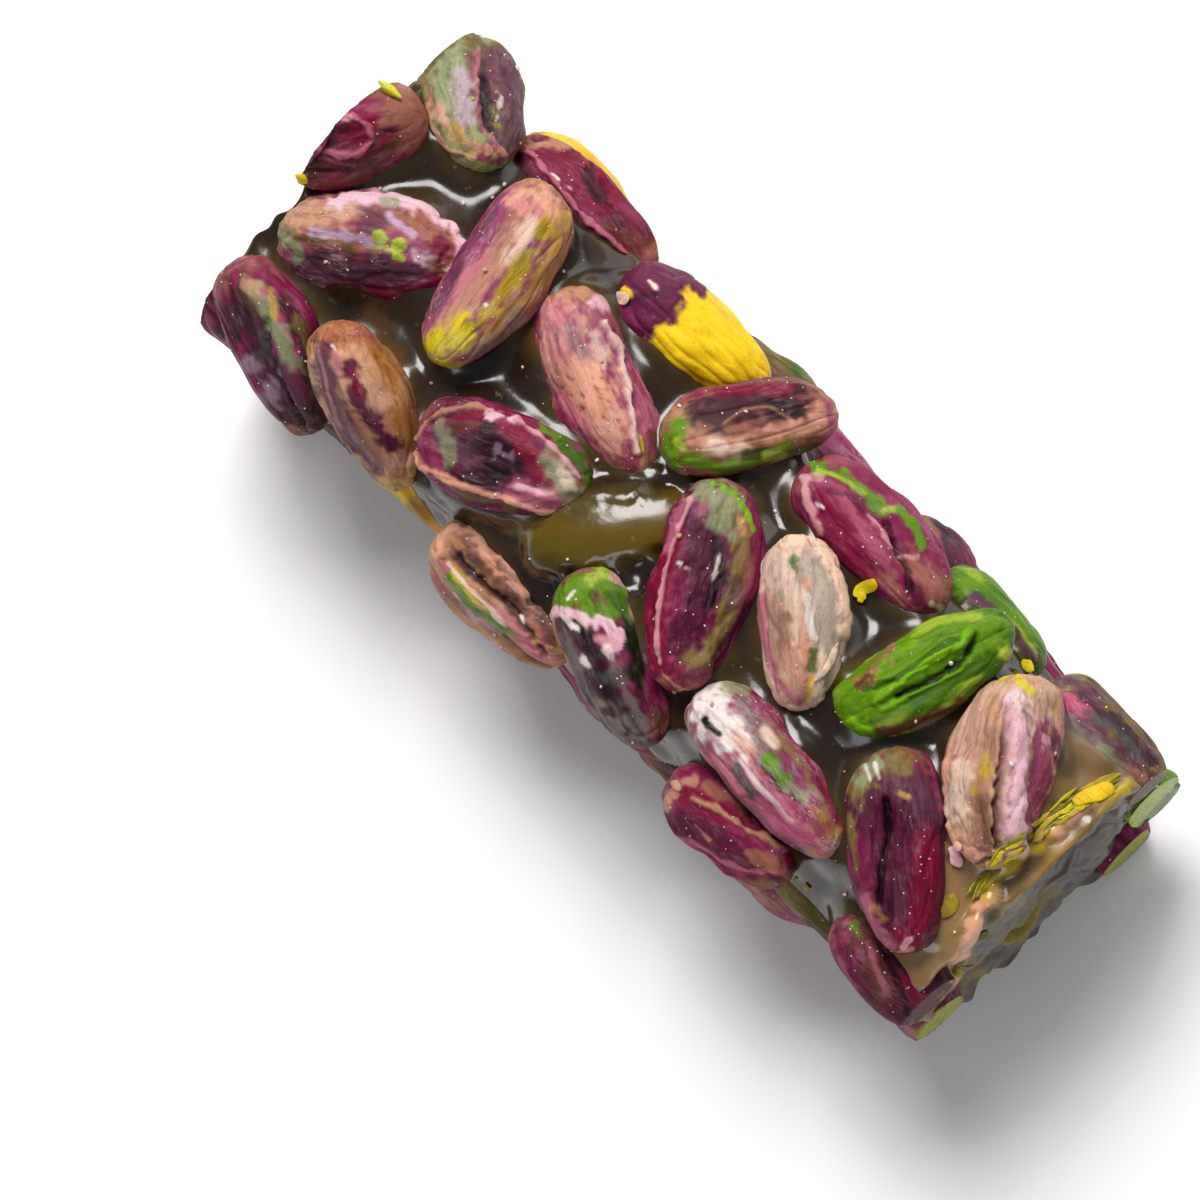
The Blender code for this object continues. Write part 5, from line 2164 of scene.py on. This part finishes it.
        Stroke((764, 352, 772, 382), 9, Tint.FERN, 0.9),
        Stroke((752, 316, 772, 350, 781, 386), 4.5, Tint.TAN, 0.85, 0.1),
    ),
    19: (
        Stroke((690, 440, 830, 436), 60, Tint.TAN, 0.8),
        Stroke((690, 425, 716, 442, 748, 452), 14, Tint.SAND, 0.75),
        Stroke((718, 418, 760, 406, 800, 414), 19, Tint.DUSK, 0.9),
        Stroke((790, 410, 806, 424), 12, Tint.INK, 0.7),
        Stroke((726, 398, 760, 393, 792, 398), 6, Tint.CRIMSON, 0.85),
        Stroke((732, 428, 752, 414, 776, 412, 800, 426), 1.4, Tint.SAND, 0.45),
        Stroke((786, 442, 818, 436, 830, 420), 12, Tint.PEACH, 0.85),
        Stroke((798, 446, 826, 440), 5, Tint.TAN, 0.5),
        Stroke((834, 412, 841, 434, 836, 452), 4, Tint.ORCHID, 0.8),
        Stroke((686, 432, 676, 450, 682, 464), 11, Tint.LEAF, 0.95),
        Stroke((686, 444, 692, 450), 4, Tint.LIME, 0.7),
        Stroke((720, 448, 736, 458, 752, 454), 8, Tint.CREAM, 0.75),
        Stroke((696, 462, 730, 469, 762, 463, 794, 455), 10, Tint.OLIVE, 0.6),
        Stroke((696, 464, 730, 472, 762, 466, 794, 456), 6, Tint.LEAF, 0.85),
        Stroke((752, 460, 772, 458), 4.5, Tint.PINE, 0.7),
        Stroke((776, 463, 790, 465), 5, Tint.LIME, 0.6),
        Stroke((800, 462, 822, 456), 4.5, Tint.FERN, 0.8),
        Stroke((822, 452, 828, 450), 5, Tint.UMBER, 0.7),
    ),
    20: (
        Stroke((458, 548, 500, 586, 542, 622), 15, Tint.TAN, 0.8),
        Stroke((512, 556, 542, 576, 562, 604), 10, Tint.UMBER, 0.85),
        Stroke((516, 590, 540, 602, 552, 632), 9, Tint.DUSK, 0.65),
        Stroke((472, 540, 500, 560, 520, 582, 532, 602), 7, Tint.PEACH, 0.8, 0.1),
        Stroke((464, 545, 476, 556), 6, Tint.DUSK, 0.6),
        Stroke((500, 616, 530, 642, 552, 656), 8, Tint.ROSE, 0.8),
        Stroke((556, 656, 568, 646), 6, Tint.SAND, 0.6),
        # Painted shade: the next three dark lines darken the sunk groove
        Stroke((462, 552, 488, 568, 508, 590, 530, 606), 7, Tint.BARK, 0.7, -0.3, 0.9, 0.6),
        Stroke((455, 548, 476, 574, 498, 592, 519, 619, 543, 648), 3.2, Tint.INK, 0.8, -0.4, 0.8, 0.7),
        Stroke((500, 562, 524, 580, 540, 604), 3.4, Tint.BARK, 0.6, -0.25, 0.8, 0.8),
        Stroke((453, 574, 465, 600, 488, 618, 505, 627), 8, Tint.LEAF, 0.95),
        Stroke((454, 568, 474, 592, 486, 604), 3.5, Tint.CITRON, 0.8),
        Stroke((447, 560, 470, 585, 490, 606, 506, 622), 2, Tint.CREAM, 0.85, 0.12),
        Stroke((452, 592, 472, 618, 496, 633), 2.4, Tint.PETAL, 0.75),
        Stroke(
            (437, 552, 440, 536, 452, 528, 470, 529, 492, 539, 516, 560, 534, 580),
            3.6, Tint.PEACH, 0.9, 0.25,
        ),
        Stroke((551, 598, 560, 620), 3.4, Tint.LIME, 0.85),
        Stroke((548, 594, 552, 600), 2, Tint.CREAM, 0.9),
        # Painted highlight: a small white glint
        Stroke((522, 614, 524, 620), 1.8, Tint.BONE, 0.9),
    ),
    21: (
        Stroke((582, 612, 600, 642, 622, 692, 642, 726), 22, Tint.DUSK, 0.9),
        Stroke((598, 618, 616, 650, 622, 680), 8, Tint.INK, 0.75),
        Stroke((626, 642, 642, 682, 662, 722), 5, Tint.ASH, 0.65),
        Stroke((596, 668, 618, 704, 648, 730), 16, Tint.SLATE, 0.6, 0.0, 0.9, 0.8),
        Stroke((608, 690, 636, 722, 660, 734), 9, Tint.ASH, 0.75, 0.0, 0.9, 1.0),
        Stroke((580, 622, 590, 652), 7, Tint.ASH, 0.6, 0.0, 0.9, 1.0),
        Stroke((668, 700, 672, 726), 6, Tint.UMBER, 0.75),
        Stroke((644, 598, 650, 640, 656, 672), 9, Tint.PINE, 0.95),
        Stroke((574, 590, 600, 572, 622, 566, 640, 578, 628, 598, 602, 598), 13, Tint.LEAF, 1.0),
        Stroke((632, 584, 648, 606), 7, Tint.FERN, 0.8),
        # Painted highlight: the brighter spot on the glossy green top
        Stroke((608, 566, 622, 562), 6, Tint.LIME, 0.7),
        Stroke((610, 580, 616, 596), 3, Tint.FERN, 0.6, -0.15),
        # Painted highlight: a small white glint
        Stroke((585, 586, 591, 578), 1.8, Tint.BONE, 0.9),
        Stroke((632, 566, 648, 576, 656, 592), 4.5, Tint.BLUSH, 0.85),
        Stroke((648, 592, 652, 606), 5, Tint.SAND, 0.7),
        Stroke((572, 600, 592, 601, 606, 608, 622, 612, 632, 622, 633, 634), 6, Tint.PETAL, 0.95, 0.14, 0.3),
        Stroke((618, 626, 628, 632), 6, Tint.BLUSH, 0.8),
        Stroke((568, 604, 574, 642, 586, 682, 610, 716, 634, 736), 2.6, Tint.SAND, 0.75, 0.1),
        Stroke((583, 606, 590, 614), 3, Tint.BONE, 0.8, 0.0, 0.6, 1.0),
        Stroke((622, 636, 628, 646), 3, Tint.BONE, 0.5, 0.0, 0.6, 1.2),
        Stroke((600, 645, 604, 652), 2, Tint.BONE, 0.7, 0.0, 0.6, 1.0),
    ),
    22: (
        Stroke((490, 640, 540, 682, 580, 740, 640, 782), 14, Tint.MAGENTA, 0.85),
        Stroke((500, 642, 560, 700), 2.6, Tint.ROSE, 0.6, 0.06),
        Stroke((588, 700, 602, 742), 6, Tint.PLUM, 0.7),
        Stroke((612, 742, 642, 772), 9, Tint.KHAKI, 0.75),
        Stroke((598, 740, 604, 750), 2.4, Tint.CREAM, 0.9),
        Stroke((578, 712, 586, 712), 2.4, Tint.SAND, 0.8),
    ),
    23: (
        Stroke((712, 530, 700, 590, 690, 640), 24, None, 0.0, 0.5, 1.0),
        Stroke((700, 500, 706, 532), 11, Tint.GRAPE, 0.7),
        Stroke((710, 520, 716, 570, 700, 612, 682, 632), 18, Tint.PLUM, 0.85),
        Stroke((684, 530, 670, 570, 662, 602, 665, 642, 682, 666), 12, Tint.CRIMSON, 0.95),
        Stroke((690, 560, 682, 600), 5, Tint.MAGENTA, 0.7),
        # Painted shade: dark ink in a sunk crease
        Stroke((726, 532, 729, 570, 718, 592), 6, Tint.INK, 0.75, -0.12),
        Stroke((752, 530, 746, 572, 730, 612, 712, 640, 700, 648), 9, Tint.KHAKI, 0.8),
        Stroke((744, 574, 740, 592), 7, Tint.GRAPE, 0.55),
        Stroke((694, 496, 676, 536), 5, Tint.ROSE, 0.65),
        Stroke((716, 482, 740, 496, 734, 512), 14, Tint.SAGE, 0.85),
        Stroke((745, 510, 758, 524), 6, Tint.STRAW, 0.5),
        Stroke((742, 506, 744, 516), 3, Tint.SLATE, 0.6),
        Stroke((722, 475, 744, 487, 757, 505, 762, 522), 3, Tint.VIVID, 0.95, 0.1),
        Stroke((680, 656, 712, 664), 8, Tint.MAGENTA, 0.65),
        Stroke((702, 490, 684, 530, 673, 570, 666, 612, 668, 650), 2.2, Tint.BLUSH, 0.8, 0.14),
        Stroke((670, 662, 690, 678, 706, 678), 2.8, Tint.PEACH, 0.75),
        Stroke((696, 558, 700, 560), 1.6, Tint.CREAM, 0.7),
        # Painted highlight: a small white glint
        Stroke((690, 552, 692, 554), 1.6, Tint.BONE, 0.9),
        Stroke((728, 545, 722, 568), 1.2, Tint.BONE, 0.6, 0.0, 0.6, 1.2),
    ),
    24: (
        Stroke((790, 560, 790, 700), 60, Tint.CREAM, 0.7),
        Stroke((796, 640, 796, 700), 18, Tint.PEACH, 0.6),
        Stroke((764, 612, 770, 652, 786, 692), 13, Tint.TAN, 0.6),
        Stroke((776, 622, 778, 640), 6, Tint.UMBER, 0.4),
        Stroke((800, 572, 812, 602, 815, 642), 12, Tint.STONE, 0.8),
        Stroke((752, 602, 752, 642, 765, 682, 786, 706), 3.8, Tint.ROSE, 0.85),
        Stroke((794, 640, 797, 680, 797, 700), 4, Tint.APRICOT, 0.45),
        Stroke((801, 682, 797, 705), 1.8, Tint.CITRON, 0.8),
        Stroke((818, 656, 815, 690), 4, Tint.SAGE, 0.6),
        Stroke((797, 602, 800, 626, 806, 642), 3.4, Tint.BONE, 0.7, 0.12),
        Stroke((812, 656, 810, 682, 805, 700), 4.5, Tint.CREAM, 0.75, 0.1),
        Stroke((783, 564, 784, 572), 4.5, Tint.FERN, 0.8, -0.05),
        Stroke((804, 656, 800, 672), 4.8, Tint.FERN, 0.85, -0.05),
        Stroke((796, 588, 797, 592), 3, Tint.APRICOT, 0.45),
        Stroke((772, 598, 774, 602), 4, Tint.SAGE, 0.6),
        Stroke((806, 570, 812, 580), 5, Tint.SAGE, 0.45),
        Stroke((776, 552, 790, 547, 806, 549, 820, 570, 828, 602, 832, 640), 5, Tint.SHELL, 0.95, 0.25),
    ),
    25: (
        Stroke((830, 522, 862, 562, 902, 602), 32, Tint.MAGENTA, 0.9),
        Stroke((822, 510, 846, 548, 872, 582), 11, Tint.CRIMSON, 0.6),
        Stroke((836, 500, 862, 542, 888, 580), 6, Tint.ROSE, 0.45),
        Stroke((820, 550, 846, 592, 872, 612), 6, Tint.CRIMSON, 0.9),
        Stroke((890, 526, 906, 552, 916, 562), 8, Tint.MAGENTA, 0.8),
        Stroke((902, 566, 926, 592, 936, 610), 11, Tint.TAN, 0.7),
        Stroke((880, 584, 896, 606), 8, Tint.TAN, 0.6),
        Stroke((908, 592, 914, 612), 6, Tint.PLUM, 0.7),
        Stroke((826, 499, 850, 505, 868, 521), 2.6, Tint.PLUM, 0.65, -0.08),
        # Painted shade: dark ink in the sunk groove
        Stroke((884, 532, 894, 560, 904, 576, 903, 602), 3.6, Tint.INK, 0.75, -0.45),
        Stroke((866, 520, 878, 540, 888, 556), 2, Tint.BLUSH, 0.65, 0.15),
        Stroke((896, 562, 914, 564), 2, Tint.BLUSH, 0.6, 0.12),
        Stroke((812, 477, 836, 482, 860, 499, 880, 517), 5.2, Tint.LEAF, 1.0, 0.1, 0.3),
        Stroke((816, 480, 838, 485, 862, 502), 2.4, Tint.LIME, 0.7),
        Stroke((882, 518, 897, 520), 3, Tint.LIME, 0.9),
        Stroke((894, 518, 909, 536, 918, 555), 4, Tint.LEAF, 1.0, 0.1, 0.3),
        Stroke((802, 486, 803, 506, 810, 528, 816, 538), 4.2, Tint.BLUSH, 0.95, 0.15),
        Stroke((806, 484, 818, 488), 3, Tint.BLUSH, 0.6),
        # Painted highlight: a small white glint
        Stroke((814, 511, 820, 514), 1.6, Tint.BONE, 0.9),
        Stroke((926, 612, 934, 616), 3, Tint.CREAM, 0.7),
    ),
    26: (
        Stroke((785, 388, 826, 404), 12, Tint.PEACH, 0.85),
        Stroke((826, 396, 846, 420), 7, Tint.BLUSH, 0.7),
    ),
    27: (
        Stroke((918, 518, 938, 550, 945, 588), 13, Tint.DUSK, 0.9),
        Stroke((912, 528, 928, 560), 6, Tint.TAN, 0.75),
        Stroke((946, 560, 943, 590), 6, Tint.PLUM, 0.8),
        Stroke((908, 560, 916, 578), 4, Tint.LEAF, 0.8),
    ),
    28: (
        Stroke((950, 604, 965, 592, 985, 592), 10, Tint.PINE, 0.9),
        Stroke((952, 606, 974, 590), 3, Tint.BONE, 0.5, 0.0, 0.8, 1.2),
        Stroke((985, 600, 1006, 632, 1022, 646), 9, Tint.FERN, 0.95),
        Stroke((1012, 640, 1022, 648), 5, Tint.LEAF, 0.9),
        Stroke((966, 614, 974, 622), 6, Tint.CREAM, 0.7),
        Stroke((988, 618, 994, 636, 982, 638), 7.5, Tint.CITRON, 1.0, 0.14, 0.3),
        Stroke((978, 586, 996, 596, 1024, 630, 1036, 646), 6, Tint.GRAPE, 0.9, 0.1),
        Stroke((990, 600, 1008, 626, 1020, 639), 2.2, Tint.PETAL, 0.8, 0.1),
    ),
    29: (
        Stroke((838, 722, 880, 684, 930, 656, 972, 652), 26, Tint.LEAF, 0.95),
        Stroke((900, 706, 940, 690, 976, 672), 9, Tint.FERN, 0.85),
        Stroke((862, 712, 900, 680, 940, 660, 956, 646), 4.5, Tint.VIVID, 0.8, 0.3),
        # Painted shade: dark green in a sunk wrinkle
        Stroke((852, 700, 882, 690, 912, 668, 944, 652), 2.6, Tint.FERN, 0.9, -0.3),
        Stroke((868, 720, 904, 700, 944, 682), 3.6, Tint.VIVID, 0.55, 0.2),
        # Painted shade: dark green in a sunk wrinkle
        Stroke((884, 706, 920, 691, 950, 673, 962, 650), 3, Tint.PINE, 0.9, -0.4),
        Stroke((852, 690, 872, 672, 900, 656), 4, Tint.VIVID, 0.6, 0.2),
        Stroke((962, 640, 984, 662, 996, 676), 8, Tint.LEAF, 0.85, 0.15),
        Stroke((988, 668, 994, 674), 6, Tint.LIME, 0.85),
        Stroke((834, 728, 850, 736), 8, Tint.VIVID, 0.8),
        Stroke((900, 650, 940, 633, 964, 631), 3.4, Tint.LIME, 0.6),
        Stroke((870, 740, 912, 731, 952, 716, 986, 696, 996, 680), 6.5, Tint.UMBER, 0.95, 0.1),
        Stroke((900, 738, 950, 722), 2, Tint.ASH, 0.6),
        Stroke((848, 690, 860, 676, 876, 664), 6.5, Tint.TAN, 0.9, 0.12, 0.4, 0.7),
        Stroke((844, 698, 856, 686), 3, Tint.UMBER, 0.8, 0.0, 0.4, 0.9),
        Stroke((866, 674, 872, 680), 3.4, Tint.LEAF, 0.8),
    ),
    30: (
        Stroke((720, 742, 752, 772, 792, 816), 19, Tint.ROSE, 0.8),
        Stroke((704, 682, 714, 706, 736, 722), 20, Tint.BONE, 0.95),
        Stroke((736, 722, 752, 738), 7, Tint.PEACH, 0.55),
        Stroke((730, 676, 746, 682), 6, Tint.SAGE, 0.8),
        Stroke((746, 690, 762, 716, 766, 742), 8, Tint.ASH, 0.75),
        Stroke((776, 716, 806, 748, 830, 792), 8, Tint.KHAKI, 0.7),
        Stroke((766, 718, 776, 732), 5, Tint.CREAM, 0.8),
        Stroke((756, 686, 782, 716, 808, 746, 832, 782, 840, 812), 5.5, Tint.MAGENTA, 0.9),
        Stroke((742, 744, 762, 776, 790, 806), 3.4, Tint.BONE, 0.6),
        Stroke((752, 740, 772, 772), 2, Tint.MAGENTA, 0.6, -0.06),
        Stroke((736, 756, 756, 786, 776, 806, 792, 820), 4.6, Tint.SLATE, 0.85, -0.1),
        Stroke((762, 792, 800, 826, 820, 836), 8, Tint.PINK, 0.75),
        Stroke((796, 790, 826, 816), 8, Tint.MAGENTA, 0.65),
        Stroke((822, 832, 832, 832), 6, Tint.BLUSH, 0.85),
        Stroke((724, 764, 760, 810, 800, 838), 3.4, Tint.GRAPE, 0.65),
        # Painted shade: dark ink in a sunk crease
        Stroke((764, 752, 782, 774, 806, 790), 2.2, Tint.INK, 0.7, -0.15),
        Stroke((771, 742, 782, 760, 790, 765), 6.2, Tint.LEAF, 1.0, -0.05, 0.3),
        Stroke((793, 771, 806, 781), 6, Tint.SAGE, 0.9),
        Stroke((708, 708, 713, 716, 719, 720), 4.6, Tint.PINE, 1.0, -0.08, 0.3),
    ),
    31: (
        Stroke((690, 822, 722, 838, 752, 858), 15, Tint.PLUM, 0.8),
        Stroke((694, 790, 730, 806, 762, 822), 12, Tint.CRIMSON, 0.95),
        Stroke((714, 785, 745, 797, 762, 806), 5.5, Tint.TAN, 0.75),
        Stroke((674, 802, 686, 782, 700, 778), 5, Tint.SAND, 0.75),
        Stroke((758, 850, 776, 862), 8, Tint.TAN, 0.75),
        Stroke((700, 796, 726, 806, 746, 821, 766, 831, 786, 846), 2.8, Tint.SAND, 0.8, 0.28),
        Stroke((700, 822, 712, 836), 2, Tint.SAND, 0.6, 0.06),
        Stroke((680, 830, 720, 856, 750, 868, 786, 868), 2.6, Tint.ROSE, 0.65),
        Stroke((784, 840, 796, 858), 4, Tint.CRIMSON, 0.8),
    ),
    32: (
        Stroke((715, 852, 745, 880, 762, 900), 9, Tint.TAN, 0.8),
        Stroke((725, 866, 750, 892), 3, Tint.ROSE, 0.7),
    ),
    33: (
        Stroke((766, 890, 776, 932, 802, 962), 10, Tint.KHAKI, 0.8),
        Stroke((790, 908, 802, 932), 12, Tint.MOSS, 0.85, -0.15),
        Stroke((796, 900, 806, 916), 7, Tint.BARK, 0.7),
        Stroke((810, 962, 836, 978), 9, Tint.TAN, 0.75),
        Stroke((758, 900, 761, 942, 790, 982, 830, 998), 2.8, Tint.GRAPE, 0.85),
    ),
    34: (
        Stroke((868, 950, 896, 1020), 50, Tint.PLUM, 0.9),
        Stroke((838, 936, 852, 976, 862, 1002), 12, Tint.UMBER, 0.8),
        Stroke((880, 985, 905, 1012), 12, Tint.CRIMSON, 0.5),
        Stroke((845, 950, 862, 1000), 3, Tint.ROSE, 0.5, 0.1),
        # Painted shade: dark ink in the sunk groove
        Stroke((858, 946, 874, 990, 884, 1022), 3, Tint.INK, 0.75, -0.35),
        Stroke((830, 934, 836, 940), 4, Tint.LEAF, 0.7),
    ),
    35: (
        Stroke((880, 780, 890, 850, 890, 912), 40, Tint.PLUM, 0.95),
        Stroke((905, 756, 926, 792), 12, Tint.GRAPE, 0.75),
        Stroke((860, 830, 862, 862), 9, Tint.MAGENTA, 0.6),
        Stroke((925, 828, 925, 870, 912, 905, 900, 926), 13, Tint.CRIMSON, 0.85),
        Stroke((936, 800, 938, 832), 5, Tint.GRAPE, 0.75),
        Stroke((892, 858, 896, 902), 7, Tint.GRAPE, 0.55),
        Stroke((858, 772, 870, 752, 902, 746), 13, Tint.KHAKI, 0.8),
        Stroke((860, 766, 876, 748), 7, Tint.SAGE, 0.85),
        # Painted highlights: two small white glints
        Stroke((864, 752, 869, 766), 1.6, Tint.BONE, 0.7),
        Stroke((874, 750, 878, 764), 1.6, Tint.BONE, 0.7),
        Stroke((850, 800, 852, 852), 3.6, Tint.KHAKI, 0.75),
        Stroke((862, 882, 870, 912, 886, 930), 7, Tint.ROSE, 0.7),
        Stroke((850, 890, 860, 925, 886, 938, 906, 932), 2.4, Tint.PEACH, 0.75),
        # Painted shade: dark ink in the sunk groove
        Stroke((884, 786, 886, 820, 879, 850, 876, 884), 2.6, Tint.INK, 1.0, -0.55),
        Stroke((904, 922, 898, 930), 2.6, Tint.BLUSH, 0.9, 0.1),
        Stroke((898, 778, 906, 782), 2.4, Tint.STRAW, 0.8),
        Stroke((870, 890, 880, 900), 3, Tint.STRAW, 0.4),
    ),
    36: (
        Stroke((1000, 680, 985, 840), 70, Tint.SAND, 0.6),
        Stroke((1000, 680, 985, 840), 60, Tint.CREAM, 0.3),
        Stroke((1000, 692, 990, 722), 10, Tint.SAND, 0.8),
        Stroke((988, 736, 972, 782, 978, 826), 15, Tint.TAN, 0.8, -0.7, 0.95, 0.1),
        # Painted shade: dark umber in the sunk crease
        Stroke((980, 786, 988, 834), 8, Tint.UMBER, 0.65, -0.25, 0.9, 0.1),
        Stroke((962, 750, 954, 800), 9, Tint.CREAM, 0.6, 0.1),
        Stroke((1042, 722, 1040, 772, 1030, 812, 1020, 836), 14, Tint.MAGENTA, 0.9),
        Stroke((1040, 722, 1036, 760), 5, Tint.ORCHID, 0.6),
        Stroke((1056, 722, 1060, 762, 1050, 802), 4.5, Tint.PLUM, 0.75),
        # Painted shade: dark umber in the deep sunk crease
        Stroke((1010, 702, 1002, 752, 996, 792, 1000, 832), 3.4, Tint.UMBER, 0.8, -0.7),
        Stroke((1016, 692, 1018, 732, 1014, 772, 1012, 802, 1016, 832), 9, Tint.PETAL, 0.9, 0.75, 0.7, 0.2),
        Stroke((1024, 696, 1030, 716), 8, Tint.CREAM, 0.85, 0.0, 0.5, 0.8),
        Stroke((1034, 700, 1046, 728), 3.5, Tint.BLUSH, 0.7, 0.0, 0.6, 1.2),
        Stroke((1022, 700, 1024, 724), 2, Tint.UMBER, 0.6, -0.1, 0.6, 1.2),
        Stroke((952, 752, 942, 772, 941, 796, 949, 822, 970, 846, 1002, 853), 4, Tint.PEACH, 0.9, 0.2),
        Stroke((1003, 668, 1014, 662, 1030, 682), 4.6, Tint.CITRON, 0.9),
        Stroke((984, 740, 986, 756), 6, Tint.MUSTARD, 0.85),
        Stroke((971, 770, 975, 774), 4, Tint.MUSTARD, 0.75),
        # Painted shade: a dark line sunk along the lower edge
        Stroke((976, 846, 996, 843), 1.5, Tint.BARK, 0.8, -0.1),
    ),
    37: (
        Stroke((1060, 690, 1100, 732, 1138, 768), 34, Tint.GRAPE, 0.85),
        Stroke((1064, 706, 1098, 742), 8, Tint.ASH, 0.7),
        # Pink along the upper-left edge: partly the skin's own pink, partly a painted highlight on the lit
        # edge
        Stroke((1050, 700, 1060, 682, 1084, 690), 8, Tint.PINK, 0.75),
        Stroke((1098, 736, 1110, 748), 8, Tint.SAGE, 0.7),
        Stroke((1078, 680, 1112, 706, 1146, 746), 5, Tint.DUSK, 0.85),
        Stroke((1082, 694, 1112, 714, 1134, 742), 3.6, Tint.SLATE, 0.75, -0.1),
        Stroke((1074, 742, 1094, 766, 1112, 782), 8, Tint.MAGENTA, 0.85),
        Stroke((1054, 712, 1086, 752), 3.6, Tint.ROSE, 0.65),
        Stroke((1124, 752, 1136, 760), 6, Tint.TAN, 0.6),
    ),
}

# What the view sees on the jelly, drawn the same way
JELLY_STROKES = (
    Stroke((945, 870, 930, 925, 912, 985), 34, Tint.JELLY_PALE, 0.85),
    Stroke((895, 955, 912, 1002), 18, Tint.JELLY_PALE, 0.9),
    Stroke((530, 530, 580, 545, 640, 540, 680, 520), 22, Tint.JELLY_OLIVE, 0.75),
    Stroke((415, 480, 450, 502, 500, 512, 560, 500, 620, 488, 680, 478), 11, Tint.JELLY, 0.4, 0.55, 0.9, 0.2),
    # Painted shade: the dark crease below the lump, also sunk in
    Stroke((560, 590, 640, 575, 672, 560), 14, Tint.JELLY_DEEP, 0.9, -0.6, 0.8),
    Stroke((365, 310, 385, 350, 400, 380), 10, Tint.JELLY_WARM, 0.5),
    # Painted reflection: grey on the jelly's shoulder left of the lump
    Stroke((430, 480, 420, 530), 14, Tint.CUT, 0.4),
    # Pale peach lip along the near cut's rim: partly the thin jelly's own colour, partly a painted highlight
    Stroke((905, 1010, 935, 985, 952, 945, 968, 905, 985, 885), 6, Tint.PEACH, 0.7, 0.3),
    Stroke((975, 890, 990, 868, 1012, 850, 1036, 830, 1047, 816), 7, Tint.MUSTARD, 0.9, 0.3),
    # Pale peach lip along the near cut's rim: partly the thin jelly's own colour, partly a painted highlight
    Stroke((1045, 830, 1060, 813, 1080, 801), 5, Tint.PEACH, 0.8, 0.2),
    Stroke((1075, 800, 1095, 791, 1115, 790), 7, Tint.MUSTARD, 0.9, 0.2),
    Stroke((980, 925, 990, 940), 9, Tint.MOSS, 0.7),
    Stroke((1000, 945, 1020, 925, 1042, 903), 8, Tint.OLIVE, 0.8),
    Stroke((1066, 832, 1078, 840), 6, Tint.OLIVE, 0.7),
    Stroke((1036, 850, 1046, 856), 5, Tint.OLIVE, 0.6),
)


@dataclass
class Bar:
    """All of the bar: its kernels in their places and the jelly that holds them.

    Attributes:
        rows: Degrees round the bar of the three rows that it lies on.
        row_length: Kernels in a row.
        pitch: Millimetres from one kernel to the next in a row.
        stagger: Millimetres from one row to the next along the bar.
        seed: The seed of the small leans.
        most_tilt: How far a kernel's near tip may dip, in radians.
        most_roll: How far a kernel may be rolled about its length, in radians.
        levels: How often a kernel is subdivided.
        fine_levels: How often a kernel with many features is.
        few_strokes: The most strokes that need no finer kernel.
        skin_depth: The power that a skin's colours are raised to.
        flesh_depth: The power that yellow flesh's colours are raised to.
        row_kernel: Length and width of a kernel in a row, in millimetres.
        most_turn: Degrees that a kernel in a row is turned at most.
    """

    rows: tuple[int, ...] = (142, 180, -142)
    row_length: int = 5
    pitch: float = 16.2
    stagger: float = 3.5
    seed: int = 20
    most_tilt: float = 0.07
    most_roll: float = 0.2
    levels: int = 3
    fine_levels: int = 4
    few_strokes: int = 6
    skin_depth: float = 1.2
    flesh_depth: float = 0.95
    row_kernel: tuple[float, float] = (13.8, 7.0)
    most_turn: float = 16.0

    def kernels(self) -> list[Kernel]:
        """Lists the kernels, those laid one by one and then the rows underneath.

        Returns:
            The kernels in the order of their nodes.
        """
        laid = list(LAID) + self._underneath()
        draw = np.random.default_rng(self.seed)
        made = []
        for number, place in enumerate(laid, 1):
            tilt = draw.uniform(-self.most_tilt, self.most_tilt)
            roll = draw.uniform(-self.most_roll, self.most_roll)
            draw.choice((-1, 1))  # the solid's bend, so that both draw the same leans
            strokes = STROKES.get(number, ())
            levels = self.fine_levels if len(strokes) > self.few_strokes else self.levels
            depth = self.flesh_depth if place.finish is YELLOW_FLESH else self.skin_depth
            laid_as = {field.name: getattr(place, field.name) for field in fields(Laid)}
            made.append(
                Kernel(number, **laid_as, tilt=tilt, roll=roll, strokes=strokes, levels=levels, depth=depth)
            )
        return made

    def _underneath(self) -> list[Laid]:
        """Lays the three rows that the bar lies on, staggered and turned a little each way.

        Returns:
            The kernels' places, row by row.
        """
        forms = (Form.SMOOTH, Form.DISH, Form.RIDGE, Form.GROOVE)
        finishes = (PLUM_SKIN, ROSE_SKIN, OLIVE_SKIN, TAN_SKIN)
        found = []
        for row, around in enumerate(self.rows):
            for place in range(self.row_length):
                along = (place - (self.row_length - 1) / 2) * self.pitch + (row - 1) * self.stagger
                turn = self.most_turn * math.sin(2.4 * place + 1.7 * row)
                form = forms[(place + row) % len(forms)]
                finish = finishes[(place + 2 * row) % len(finishes)]
                found.append(Laid(along, around, turn, *self.row_kernel, form, finish))
        return found

    def build(self) -> None:
        """Makes every kernel, then the jelly round them."""
        pieces = []
        for kernel in self.kernels():
            pieces.append(kernel.build())
            LOG.info("%s: %d faces", pieces[-1].name, len(pieces[-1].data.polygons))
        jelly = Jelly(strokes=JELLY_STROKES).build(pieces)
        LOG.info("%s: %d faces", jelly.name, len(jelly.data.polygons))
        pieces.append(jelly)
        scraps = Scraps(pieces)
        for loose in (
            scraps.build("nut_scraps", GREEN_SCRAPS + fringe()),
            scraps.build("skin_scraps", SKIN_SCRAPS),
            Crumbs(pieces).build(),
        ):
            LOG.info("%s: %d faces", loose.name, len(loose.data.polygons))


def main() -> None:
    """Builds the bar, then the studio round it."""
    logging.basicConfig(level=logging.INFO, format="%(name)s: %(message)s")
    Bar().build()
    Studio().build()


if __name__ == "__main__":
    main()
